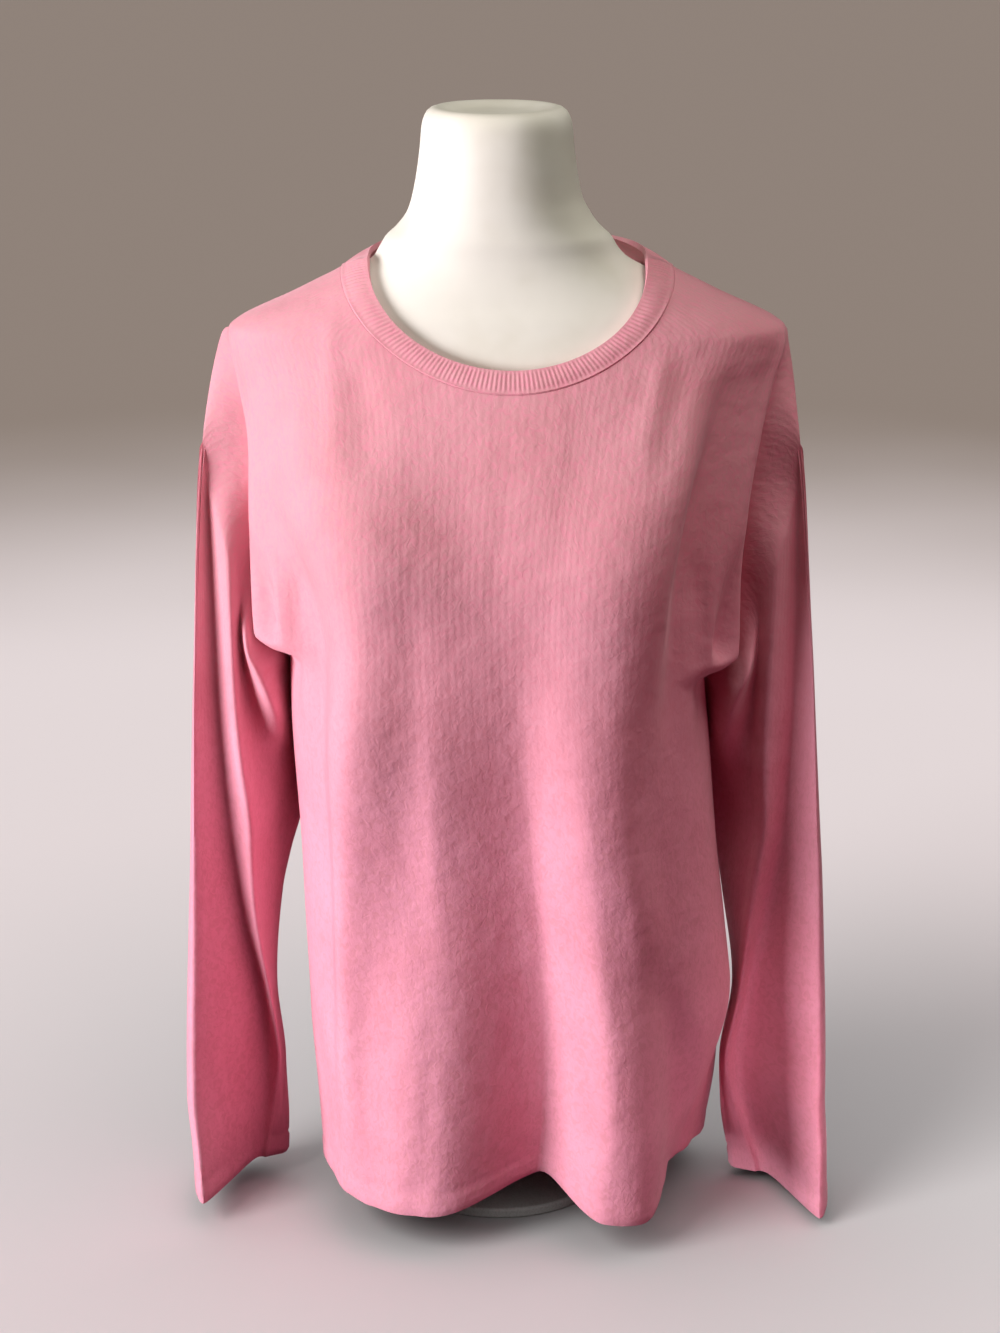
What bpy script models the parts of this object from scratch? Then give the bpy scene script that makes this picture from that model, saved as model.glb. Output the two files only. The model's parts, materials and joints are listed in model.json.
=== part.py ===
"""A long-sleeved cashmere sweater on a limbless dress form. Metres, +Z up, front towards -Y.

The knit is a wall laid over horizontal rings. BODY gives the rings of the body. SLEEVE gives the
lines of fold that run down a sleeve, and a closed curve joins them at each height. Front, back,
sleeves and neckband meet along seams with a gap of SEAM_GAP. The form is a stack of rings on a
pole and a round base. The origin is the centre of the base's underside, and the form and garment
stand SET_FORWARD of it.
"""

import math

import bpy
import numpy as np
from mathutils import Vector

# Knit
WALL = 0.002
HEM_WALL = 0.003
BAND_WALL = 0.0034
SEAM_GAP = 0.0003
HEM_DEPTH = 0.020

# Heights of the garment's edges
BODY_HEM = 0.034
HEM_RISE = 0.373
CUFF_LEFT = 0.020
CUFF_RIGHT = 0.008
UNDERARM = 0.424
UNDERARM_DROP = 0.008
SETTLE_SPAN = 0.17
SHOULDER_TIP = 0.668

# Body rings, how square they are, and the bust that the front falls from
FRONT_SQUARE = 2.3
BACK_SQUARE = 2.2
BUST_OUT = 0.070
BUST_HEIGHT = 0.525
BUST_RADIUS = 0.050
BUST_PUSH = 0.006
BODY = (
    # height, shift, half_width, front, back
    (0.000, 0.0100, 0.1440, 0.0990, 0.121),
    (0.034, 0.0110, 0.1460, 0.1000, 0.120),
    (0.100, 0.0140, 0.1525, 0.1060, 0.118),
    (0.165, 0.0145, 0.1560, 0.1090, 0.115),
    (0.230, 0.0110, 0.1535, 0.1110, 0.111),
    (0.300, 0.0060, 0.1505, 0.1130, 0.106),
    (0.370, 0.0010, 0.1500, 0.1150, 0.101),
    (0.430, -0.0020, 0.1480, 0.1165, 0.097),
    (0.500, -0.0030, 0.1490, 0.1175, 0.096),
    (0.550, -0.0010, 0.1530, 0.1120, 0.098),
    (0.600, 0.0030, 0.1640, 0.0990, 0.097),
    (0.635, 0.0040, 0.1770, 0.0845, 0.091),
    (0.655, 0.0050, 0.1880, 0.0755, 0.082),
    (0.668, 0.0050, 0.1930, 0.0700, 0.074),
    (0.675, 0.0050, 0.1855, 0.0675, 0.070),
    (0.6815, 0.0050, 0.1730, 0.0650, 0.066),
    (0.6907, 0.0050, 0.1523, 0.0615, 0.060),
    (0.700, 0.0050, 0.1335, 0.0590, 0.054),
    (0.7095, 0.0050, 0.1150, 0.0570, 0.047),
    (0.724, 0.0050, 0.0935, 0.0550, 0.040),
)

# The soft roll that the body's cloth makes over each armhole, past the ring of the body
ROLL_FROM = 0.60
ROLL_FULL = 0.95
SEAM_FROM = 0.80
ROLL = (
    # height, out_front, out_back, front, back
    (0.424, 0.0000, 0.0000, 0.000, 0.000),
    (0.429, 0.0020, 0.0020, 0.002, 0.001),
    (0.434, 0.0100, 0.0090, 0.008, 0.005),
    (0.440, 0.0235, 0.0215, 0.018, 0.011),
    (0.447, 0.0340, 0.0275, 0.023, 0.014),
    (0.470, 0.0360, 0.0290, 0.024, 0.015),
    (0.510, 0.0350, 0.0285, 0.023, 0.015),
    (0.555, 0.0300, 0.0255, 0.019, 0.014),
    (0.600, 0.0200, 0.0180, 0.012, 0.010),
    (0.635, 0.0100, 0.0100, 0.006, 0.005),
    (0.668, 0.0000, 0.0000, 0.000, 0.000),
)

# Where the armhole seam lies: in from the end of the ring, and forward and back of its middle
ARMHOLE = (
    # height, inset_front, inset_back, front, back
    (0.424, 0.0000, 0.0000, 0.000, 0.000),
    (0.434, 0.0020, 0.0010, 0.004, 0.006),
    (0.447, 0.0145, 0.0060, 0.008, 0.015),
    (0.475, 0.0170, 0.0100, 0.011, 0.020),
    (0.520, 0.0165, 0.0100, 0.014, 0.030),
    (0.560, 0.0125, 0.0080, 0.018, 0.032),
    (0.600, 0.0070, 0.0050, 0.020, 0.030),
    (0.630, 0.0020, 0.0020, 0.018, 0.024),
    (0.655, 0.0005, 0.0005, 0.011, 0.014),
    (0.668, 0.0000, 0.0000, 0.000, 0.000),
)

# Folds of the body. Places are quarter turns from centre front, to the right. Each fold leans from
# its foot at the hem to its head at its top, and is deepest at its peak.
FOLDS = (
    # name, foot, head, spread_left, spread_right, push, bottom, peak, top
    ("front hollow", 0.095, 0.059, 0.404, 0.187, -0.0465, -0.50, 0.05, 0.588),
    ("front right lobe", 0.407, 0.269, 0.278, 0.181, 0.0148, -0.50, 0.10, 0.620),
    ("right flank", 0.723, 0.191, 0.302, 0.202, -0.0105, -0.50, 0.20, 0.330),
    ("front left lobe", -0.288, -0.390, 0.220, 0.443, 0.0229, -0.50, 0.10, 0.620),
    ("left long ridge", -0.500, -0.399, 0.202, 0.207, 0.0283, -0.50, 0.30, 0.620),
    ("left long hollow", -0.555, -0.350, 0.156, 0.192, -0.0189, -0.50, 0.30, 0.433),
    ("left broad hollow", -0.332, -0.346, 0.267, 0.435, -0.0257, -0.50, 0.25, 0.407),
    ("middle ridge", 0.002, 0.196, 0.181, 0.082, 0.0023, -0.50, 0.30, 0.344),
    ("right chest", 0.313, 0.515, 0.330, 0.158, 0.0235, 0.30, 0.56, 0.668),
    ("centre chest", 0.046, 0.234, 0.347, 0.238, 0.0027, 0.43, 0.56, 0.668),
    ("left chest", -0.300, -0.582, 0.323, 0.450, 0.0265, 0.45, 0.56, 0.668),
    ("right side hollow", 0.840, 0.840, 0.34, 0.50, -0.026, -0.50, 0.045, 0.19),
    ("right back corner", 1.420, 1.360, 0.28, 0.45, 0.030, -0.50, 0.05, 0.24),
    ("centre back hollow", 2.060, 2.040, 0.34, 0.30, -0.026, -0.50, 0.05, 0.46),
    ("left back lobe", -1.560, -1.540, 0.30, 0.30, 0.008, -0.50, 0.08, 0.46),
    ("left side hollow", -0.840, -0.840, 0.34, 0.22, -0.006, -0.50, 0.05, 0.28),
    ("left trough", -0.800, -0.840, 0.09, 0.10, -0.016, 0.432, 0.462, 0.545),
    ("right trough", 0.800, 0.840, 0.10, 0.09, -0.016, 0.432, 0.462, 0.545),
    ("left ridge", -0.700, -0.700, 0.10, 0.10, 0.004, 0.360, 0.440, 0.530),
    ("right ridge", 0.700, 0.700, 0.10, 0.10, 0.004, 0.360, 0.440, 0.530),
)

# Neckline seam and the inner edge of its rib band. From the front each is an ellipse whose lower
# part leans to the right, and POWER above 1 draws it towards a V.
NECK_CENTRE = 0.005
NECK_LEAN = 0.003
NECK_HALF_WIDTH = 0.115
NECK_LEVEL = 0.7095
NECK_DROP_FRONT = 0.0725
NECK_DROP_BACK = 0.002
NECK_POWER = 1.3
BAND_HALF_WIDTH = 0.0955
BAND_LEVEL = 0.719
BAND_DROP_FRONT = 0.0665
BAND_DROP_BACK = -0.010
BAND_POWER = 1.05
BAND_BACK = 0.0500
BAND_SWELL = 0.0012

# Sleeves. Each line of fold runs down the sleeve in one of its columns, which are counted from the
# underarm over the front. The two sides are mirrored but for SLEEVE_SHIFT, which moves the lines
# nearer the body (inner) and those farther out (outer) to the right.
SLEEVE_ROUND = 0.026
SHOULDER_ROUND = 0.013
INNER_TO = 0.175
OUTER_FROM = 0.205
SLEEVE_SHIFT = (
    # height, inner, outer
    (0.008, 0.0070, 0.0090),
    (0.060, 0.0035, 0.0070),
    (0.100, 0.0020, 0.0045),
    (0.165, 0.0035, 0.0045),
    (0.240, 0.0018, 0.0045),
    (0.270, 0.0028, 0.0045),
    (0.310, 0.0050, 0.0040),
    (0.360, 0.0010, 0.0035),
    (0.400, -0.0010, 0.0032),
    (0.430, -0.0015, 0.0030),
    (0.500, 0.0000, 0.0020),
    (0.600, 0.0005, 0.0010),
    (0.668, 0.0030, 0.0030),
)
SLEEVE_LINES = {
    # column: rows of height, out, back
    0: (
        (0.015, 0.1700, 0.050),
        (0.060, 0.1655, 0.047),
        (0.100, 0.1655, 0.046),
        (0.165, 0.1712, 0.040),
        (0.240, 0.1633, 0.037),
        (0.270, 0.1575, 0.036),
        (0.300, 0.1508, 0.036),
        (0.330, 0.1485, 0.036),
        (0.370, 0.1480, 0.037),
        (0.400, 0.1480, 0.033),
        (0.424, 0.1550, 0.010),
        (0.447, 0.1700, 0.000),
    ),
    3: (
        (0.015, 0.1710, 0.041),
        (0.100, 0.1655, 0.038),
        (0.165, 0.1712, 0.028),
        (0.270, 0.1640, 0.022),
        (0.340, 0.1610, 0.012),
        (0.378, 0.1585, -0.012),
        (0.400, 0.1620, -0.026),
        (0.420, 0.1690, -0.034),
        (0.436, 0.1750, -0.037),
        (0.455, 0.1790, -0.031),
        (0.475, 0.1800, -0.026),
    ),
    6: (
        (0.015, 0.1780, 0.037),
        (0.100, 0.1660, 0.029),
        (0.165, 0.1720, 0.014),
        (0.220, 0.1750, 0.004),
        (0.320, 0.1780, -0.008),
        (0.370, 0.1790, -0.008),
        (0.410, 0.1810, -0.012),
        (0.450, 0.1830, -0.020),
        (0.520, 0.1800, -0.022),
        (0.600, 0.1860, -0.025),
    ),
    8: (
        (0.015, 0.1860, 0.033),
        (0.060, 0.1750, 0.031),
        (0.110, 0.1680, 0.018),
        (0.165, 0.1735, 0.002),
        (0.220, 0.1790, -0.012),
        (0.300, 0.1850, -0.023),
        (0.360, 0.1875, -0.028),
        (0.480, 0.1915, -0.032),
        (0.550, 0.1930, -0.031),
        (0.600, 0.1940, -0.029),
        (0.625, 0.1930, -0.024),
    ),
    10: (
        (0.015, 0.1970, 0.026),
        (0.060, 0.1900, 0.027),
        (0.110, 0.1840, 0.023),
        (0.165, 0.1860, 0.012),
        (0.220, 0.1930, 0.000),
        (0.300, 0.2020, -0.010),
        (0.420, 0.2065, -0.016),
        (0.550, 0.2060, -0.018),
        (0.600, 0.2050, -0.020),
        (0.640, 0.2000, -0.013),
    ),
    12: (
        (0.015, 0.2275, -0.046),
        (0.110, 0.2285, -0.041),
        (0.230, 0.2265, -0.036),
        (0.360, 0.2220, -0.032),
        (0.480, 0.2160, -0.028),
        (0.550, 0.2115, -0.024),
        (0.600, 0.2065, -0.018),
        (0.640, 0.2015, -0.010),
        (0.660, 0.1980, -0.004),
    ),
    16: (
        (0.015, 0.2355, 0.024),
        (0.110, 0.2325, 0.026),
        (0.230, 0.2275, 0.027),
        (0.360, 0.2205, 0.026),
        (0.480, 0.2140, 0.024),
        (0.550, 0.2095, 0.021),
        (0.600, 0.2050, 0.016),
        (0.640, 0.2000, 0.009),
        (0.660, 0.1970, 0.004),
    ),
    22: (
        (0.015, 0.2060, 0.068),
        (0.165, 0.1980, 0.066),
        (0.270, 0.1910, 0.063),
        (0.360, 0.1870, 0.059),
        (0.480, 0.1850, 0.053),
        (0.550, 0.1860, 0.046),
        (0.600, 0.1900, 0.035),
        (0.640, 0.1950, 0.020),
    ),
    25: (
        (0.015, 0.1860, 0.062),
        (0.165, 0.1800, 0.056),
        (0.270, 0.1720, 0.053),
        (0.360, 0.1680, 0.050),
        (0.410, 0.1740, 0.046),
        (0.440, 0.1820, 0.037),
        (0.480, 0.1830, 0.044),
        (0.560, 0.1830, 0.042),
    ),
}

# Grids of the walls, in steps. A sleeve has a column for each step up one side of its armhole and
# down the other.
FRONT_COLUMNS = 28
BACK_COLUMNS = 20
COLUMN_CROWDING = 0.3
SKIRT_ROWS = 8
ARMHOLE_ROWS = 14
ARMHOLE_CROWDING = 1.4
SHOULDER_ROWS = 3
SLEEVE_ROWS = 14
SLEEVE_HEAD = (0.006, 0.018, 0.036, 0.065)
BAND_ROWS = 2

# Dress form
SET_FORWARD = 0.050
FORM_SQUARE = 2.15
FORM_SIDES = 32
FORM = (
    # height, shift, half_width, front, back
    (0.2400, 0.001, 0.1100, 0.0640, 0.0740),
    (0.2430, 0.001, 0.1155, 0.0690, 0.0790),
    (0.2500, 0.001, 0.1190, 0.0720, 0.0820),
    (0.2700, 0.001, 0.1200, 0.0740, 0.0820),
    (0.3200, 0.000, 0.1160, 0.0780, 0.0770),
    (0.3700, 0.000, 0.1140, 0.0830, 0.0740),
    (0.4200, 0.000, 0.1190, 0.0920, 0.0750),
    (0.4700, 0.000, 0.1290, 0.1050, 0.0800),
    (0.5150, 0.000, 0.1370, 0.1120, 0.0840),
    (0.5550, 0.000, 0.1430, 0.1050, 0.0870),
    (0.6000, 0.001, 0.1540, 0.0910, 0.0850),
    (0.6350, 0.002, 0.1670, 0.0770, 0.0790),
    (0.6550, 0.003, 0.1740, 0.0690, 0.0720),
    (0.6660, 0.003, 0.1735, 0.0650, 0.0680),
    (0.6740, 0.003, 0.1680, 0.0620, 0.0640),
    (0.6815, 0.003, 0.1580, 0.0595, 0.0590),
    (0.6907, 0.003, 0.1410, 0.0560, 0.0540),
    (0.7000, 0.002, 0.1200, 0.0535, 0.0480),
    (0.7095, 0.001, 0.1000, 0.0515, 0.0410),
    (0.7175, 0.000, 0.0870, 0.0505, 0.0395),
    (0.7240, -0.001, 0.0820, 0.0500, 0.0410),
    (0.7315, -0.001, 0.0775, 0.0500, 0.0440),
    (0.7380, -0.001, 0.0705, 0.0495, 0.0455),
    (0.7470, -0.001, 0.0635, 0.0490, 0.0470),
    (0.7600, -0.002, 0.0580, 0.0490, 0.0485),
    (0.7900, -0.002, 0.0530, 0.0495, 0.0500),
    (0.8080, -0.002, 0.0512, 0.0490, 0.0490),
    (0.8155, -0.002, 0.0485, 0.0465, 0.0465),
    (0.8190, -0.002, 0.0440, 0.0420, 0.0420),
    (0.8195, -0.002, 0.0400, 0.0380, 0.0380),
    (0.8180, -0.002, 0.0350, 0.0335, 0.0335),
    (0.8155, -0.002, 0.0280, 0.0265, 0.0265),
    (0.8145, -0.002, 0.0120, 0.0110, 0.0110),
)
POLE_RADIUS = 0.014
POLE_SIDES = 32
BASE_RADIUS = 0.080
BASE_THICKNESS = 0.008
BASE_SIDES = 64
BASE_EDGE = 0.002
JOINT_GAP = 0.0003

CASHMERE_PINK = (0.79, 0.36, 0.43, 1.0)
SHELL_WHITE = (0.80, 0.78, 0.73, 1.0)
PAINT_WHITE = (0.78, 0.77, 0.75, 1.0)


# Curves through tables


def smooth(share):
    """A rise from 0 to 1 that is level at both ends."""
    share = np.clip(share, 0.0, 1.0)
    return share * share * (3.0 - 2.0 * share)


def cubic(start, end, start_slope, end_slope, span, t):
    rest = 1.0 - t
    ends = start * (1.0 + 2.0 * t) * rest**2 + end * (3.0 - 2.0 * t) * t**2
    return ends + span * t * rest * (start_slope * rest - end_slope * t)


def column(table, index, height):
    """One column of a table at any height, as a curve that turns only where its rows turn."""
    rows = np.array([(row[0], row[index]) for row in table])
    at, value = rows.T
    step = np.diff(at)
    rise = np.diff(value) / step
    slope = np.concatenate([rise[:1], np.zeros(len(rise) - 1), rise[-1:]])
    both = rise[:-1] + rise[1:]
    onward = rise[:-1] * rise[1:] > 0
    slope[1:-1][onward] = (2.0 * rise[:-1] * rise[1:])[onward] / both[onward]
    height = np.clip(height, at[0], at[-1])
    i = np.clip(np.searchsorted(at, height) - 1, 0, len(step) - 1)
    t = (height - at[i]) / step[i]
    return cubic(value[i], value[i + 1], slope[i], slope[i + 1], step[i], t)


def closed_curve(stations, around, values, place):
    """A smooth closed curve through values[k] at stations[k], with around as one whole turn."""
    count = len(stations)
    place = np.mod(place, around)
    i = np.searchsorted(stations, place, side="right") - 1

    def station(k):
        return stations[k % count] + around * (k // count)

    def value(k):
        return np.take_along_axis(values, np.expand_dims(k % count, 0), 0)[0]

    start_slope = (value(i + 1) - value(i - 1)) / (station(i + 1) - station(i - 1))
    end_slope = (value(i + 2) - value(i)) / (station(i + 2) - station(i))
    span = station(i + 1) - station(i)
    t = (place - station(i)) / span
    return cubic(value(i), value(i + 1), start_slope, end_slope, span, t)


def unit(vectors):
    return vectors / np.maximum(np.linalg.norm(vectors, axis=-1, keepdims=True), 1e-12)


# Body. A place on it is in quarter turns: 0 centre front, 1 right side, 2 centre back, -1 left side.


def fold_push(place, height):
    """How far the folds push the body outwards."""
    total = np.zeros(np.broadcast(place, height).shape)
    for _, foot, head, left, right, push, bottom, peak, top in FOLDS:
        middle = foot + (head - foot) * np.clip(height / top, 0.0, 1.0)
        off = np.mod(place - middle + 2.0, 4.0) - 2.0
        near = np.clip(np.abs(off) / np.where(off < 0.0, left, right), 0.0, 1.0)
        along = smooth((top - height) / (top - peak)) * smooth((height - bottom) / (peak - bottom))
        total = total + push * along * 0.5 * (1.0 + np.cos(math.pi * near))
    return total


def body_point(place, height, front):
    """A point of the body's outer face, on the front or on the back."""
    place, height = np.broadcast_arrays(place, height)
    side, facing = np.sin(place * math.pi / 2.0), np.cos(place * math.pi / 2.0)
    hand = np.where(side < 0.0, -1.0, 1.0)
    way = -1.0 if front else 1.0
    panel = 0 if front else 1
    half, depth = column(BODY, 2, height), column(BODY, 3 + panel, height)
    square = FRONT_SQUARE if front else BACK_SQUARE
    curve = np.sqrt(np.clip(1.0 - np.abs(side) ** square, 0.0, 1.0))
    to_side = 1.0 - np.abs(np.abs(np.mod(place + 2.0, 4.0) - 2.0) - 1.0)
    roll = smooth((to_side - ROLL_FROM) / (ROLL_FULL - ROLL_FROM))
    lift = column(ROLL, 3 + panel, height)
    x = column(BODY, 1, height) + half * side + hand * column(ROLL, 1 + panel, height) * roll
    y = way * (depth * curve + lift * roll)

    push = fold_push(place, height)
    outward = unit(np.stack([side / half, -facing / depth], axis=-1))
    x, y = x + outward[..., 0] * push, y + outward[..., 1] * push
    if front:
        over = (np.abs(x - column(BODY, 1, height)) - BUST_OUT) ** 2 + (height - BUST_HEIGHT) ** 2
        y = y - BUST_PUSH * np.exp(-over / BUST_RADIUS**2)

    to_seam = smooth((to_side - SEAM_FROM) / (1.0 - SEAM_FROM))
    x = x - hand * column(ARMHOLE, 1 + panel, height) * to_seam
    y = y + way * (column(ARMHOLE, 3 + panel, height) - lift) * to_seam
    return np.stack([x, y, height], axis=-1)


def hem_height(place):
    return BODY_HEM - HEM_RISE * fold_push(place, BODY_HEM)


def neck_seam(turn):
    """Side and height of the neckline seam, at turns from centre front."""
    facing = np.cos(turn)
    drop = np.where(facing > 0.0, NECK_DROP_FRONT, NECK_DROP_BACK)
    x = NECK_CENTRE + NECK_LEAN * np.maximum(facing, 0.0) + NECK_HALF_WIDTH * np.sin(turn)
    return x, NECK_LEVEL - drop * np.abs(facing) ** NECK_POWER


def neck_turn(place, front):
    """The turn at which the neckline seam crosses each place on the body."""
    middle = 0.0 if front else math.pi
    turns = middle + np.linspace(-math.pi / 2.0, math.pi / 2.0, 361)
    x, height = neck_seam(turns)
    side = np.clip((x - column(BODY, 1, height)) / column(BODY, 2, height), -1.0, 1.0)
    crossed = np.arcsin(side) * 2.0 / math.pi
    return np.interp(place, crossed if front else 2.0 - crossed, turns)


def side_rows():
    """Heights of the body's rows at its sides: skirt, armhole and shoulder."""
    skirt = np.linspace(BODY_HEM + HEM_DEPTH, UNDERARM, SKIRT_ROWS)
    fine = np.linspace(UNDERARM, SHOULDER_TIP, 241)
    seam = body_point(1.0, fine, True)
    run = np.cumsum(np.linalg.norm(np.diff(seam, axis=0, prepend=seam[:1]), axis=1))
    share = np.linspace(0.0, 1.0, ARMHOLE_ROWS + 1) ** ARMHOLE_CROWDING
    armhole = np.interp(share * run[-1], run, fine)
    shoulder = np.linspace(SHOULDER_TIP, NECK_LEVEL, SHOULDER_ROWS + 1)
    return np.concatenate([[BODY_HEM], skirt, armhole[1:], shoulder[1:]])


def panel_places(columns, front):
    """Places across a panel, closer together towards its sides."""
    even = np.linspace(-1.0, 1.0, columns + 1)
    places = even + COLUMN_CROWDING * np.sin(math.pi * even) / math.pi
    return places if front else places + 2.0


def body_grid(columns, front):
    """A panel's points. Its rows close up over the chest, so that the last one is the neckline."""
    places, rows = panel_places(columns, front), side_rows()
    hem = hem_height(places)
    top = neck_seam(neck_turn(places, front))[1]
    skirt = (rows - BODY_HEM) / (UNDERARM - BODY_HEM)
    chest = (rows - UNDERARM) / (NECK_LEVEL - UNDERARM)
    heights = np.where(
        rows[:, None] < UNDERARM,
        hem + (UNDERARM - hem) * skirt[:, None],
        UNDERARM + (top - UNDERARM) * chest[:, None],
    )
    return body_point(places[None, :], heights, front)


# Sleeves and neckband


def sleeve_point(place, height, hand):
    """Out and back of a sleeve's closed section, at a place counted in columns."""
    place, height = np.broadcast_arrays(place, height)
    stations = np.array(list(SLEEVE_LINES))
    outs = np.stack([column(line, 1, height) for line in SLEEVE_LINES.values()])
    backs = np.stack([column(line, 2, height) for line in SLEEVE_LINES.values()])
    around = 2 * ARMHOLE_ROWS
    out = closed_curve(stations, around, outs, place)
    inner, outer = column(SLEEVE_SHIFT, 1, height), column(SLEEVE_SHIFT, 2, height)
    shift = inner + (outer - inner) * smooth((out - INNER_TO) / (OUTER_FROM - INNER_TO))
    return out + hand * shift, closed_curve(stations, around, backs, place)


def sleeve_grid(armhole, cuff, hand):
    """A sleeve's points, from the cuff up to the armhole's own points."""
    head_out, head_back, head = hand * armhole[:, 0], armhole[:, 1], armhole[:, 2]
    columns = len(armhole)
    place = np.arange(columns)
    down = np.concatenate([[0.0], SLEEVE_HEAD, np.linspace(SLEEVE_HEAD[-1], 1.0, SLEEVE_ROWS)[1:]])
    down = down[::-1, None] * (head - cuff)
    out, back = sleeve_point(place[None, :], head - down, hand)
    loop_out, loop_back = sleeve_point(place, head, hand)
    from_tip = np.abs(place - columns / 2.0) / (columns / 4.0)
    round_off = SHOULDER_ROUND + (SLEEVE_ROUND - SHOULDER_ROUND) * smooth(from_tip)
    near = np.clip(1.0 - down / round_off, 0.0, 1.0)
    pull = 1.0 - np.sqrt(1.0 - near**2)
    x = hand * (out + (head_out - loop_out) * pull)
    y = back + (head_back - loop_back) * pull
    grid = np.stack([x, y, head - down], axis=-1)
    grid[-1] = armhole
    return grid if hand > 0 else grid[:, ::-1]


def band_grid(seam, turns):
    """The rib band's points, from the neckline seam up to its inner edge."""
    facing = np.cos(turns)
    drop = np.where(facing > 0.0, BAND_DROP_FRONT, BAND_DROP_BACK)
    x = NECK_CENTRE + NECK_LEAN * np.maximum(facing, 0.0) + BAND_HALF_WIDTH * np.sin(turns)
    height = BAND_LEVEL - drop * np.abs(facing) ** BAND_POWER
    side = np.clip(np.abs(x - column(BODY, 1, height)) / column(BODY, 2, height), 0.0, 1.0)
    front = -column(BODY, 3, height) * np.sqrt(1.0 - side**FRONT_SQUARE)
    back = BAND_BACK * np.abs(facing) ** 0.6
    inner = np.stack([x, np.where(facing > 0.0, front, back), height], axis=-1)
    share = np.linspace(0.0, 1.0, BAND_ROWS + 1)[:, None, None]
    flat = seam + (inner - seam) * share
    along = np.roll(seam, -1, axis=0) - np.roll(seam, 1, axis=0)
    swell = unit(np.cross(along, inner - seam)) * BAND_SWELL * np.sin(math.pi * share)
    return flat + swell


# Walls


class Panel:
    """A grid of points, rows by columns, with the outward normals that its thickness follows."""

    def __init__(self, points, wall=None, closed=False):
        self.points = points
        self.closed = closed
        self.wall = np.full(points.shape[:2], wall or WALL)
        if wall is None:
            self.wall[:2] = HEM_WALL
        settle(points)
        across = np.gradient(points, axis=1)
        if closed:
            across = np.roll(points, -1, axis=1) - np.roll(points, 1, axis=1)
        self.normals = unit(np.cross(across, np.gradient(points, axis=0)))

    def draw_back(self, edge, inside):
        """Moves an edge of the grid back from its seam, within the surface."""
        normal = self.normals[edge]
        away = self.points[inside] - self.points[edge]
        away = away - normal * np.sum(away * normal, axis=-1, keepdims=True)
        self.points[edge] = self.points[edge] + unit(away) * SEAM_GAP / 2.0


def settle(points):
    """Lowers the right underarm and raises the left one, and the cloth round them with it."""
    x, height = points[..., 0], points[..., 2]
    side = np.sin(np.clip(x / SETTLE_SPAN, -1.0, 1.0) * math.pi / 2.0)
    near = smooth((height - 0.24) / (UNDERARM - 0.24)) * smooth((0.62 - height) / (0.62 - 0.46))
    points[..., 2] = height - UNDERARM_DROP * side * near


def share_normals(panels):
    """Panels that meet at a point take the same normal there."""
    points = np.concatenate([panel.points.reshape(-1, 3) for panel in panels])
    normals = np.concatenate([panel.normals.reshape(-1, 3) for panel in panels])
    _, same = np.unique(np.round(points, 7), axis=0, return_inverse=True)
    same = same.reshape(-1)
    total = np.zeros((same.max() + 1, 3))
    np.add.at(total, same, normals)
    shared, start = unit(total)[same], 0
    for panel in panels:
        size = panel.normals.shape[0] * panel.normals.shape[1]
        panel.normals = shared[start : start + size].reshape(panel.normals.shape)
        start += size


def wall_mesh(name, panel):
    """A closed mesh between the panel's outer face and the same grid laid off inwards."""
    rows, columns = panel.points.shape[:2]
    inner = panel.points - panel.normals * panel.wall[..., None]
    vertices = np.concatenate([panel.points.reshape(-1, 3), inner.reshape(-1, 3)])
    index = np.arange(rows * columns).reshape(rows, columns)
    if panel.closed:
        index = np.concatenate([index, index[:, :1]], axis=1)
    inside = index + rows * columns

    def quads(a, b):
        """Faces between two lines of the grid that run the same way, mirrored at the middle."""
        steps, half = range(len(a) - 1), len(a) // 2
        left = [(a[k], a[k + 1], b[k + 1], b[k]) for k in steps if k < half]
        return left + [(a[k + 1], b[k + 1], b[k], a[k]) for k in steps if k >= half]

    def turned(faces):
        """The same faces split the same way, facing the other way."""
        return [(a, d, c, b) for a, b, c, d in faces]

    faces = []
    for row in range(rows - 1):
        faces += quads(index[row], index[row + 1])
        faces += turned(quads(inside[row], inside[row + 1]))
    faces += quads(inside[0], index[0])
    faces += quads(index[-1], inside[-1])
    if not panel.closed:
        faces += quads(index[:, 0], inside[:, 0])
        faces += quads(inside[:, -1], index[:, -1])
    mesh = bpy.data.meshes.new(name)
    mesh.from_pydata(vertices.tolist(), [], [tuple(int(k) for k in face) for face in faces])
    return mesh


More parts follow.
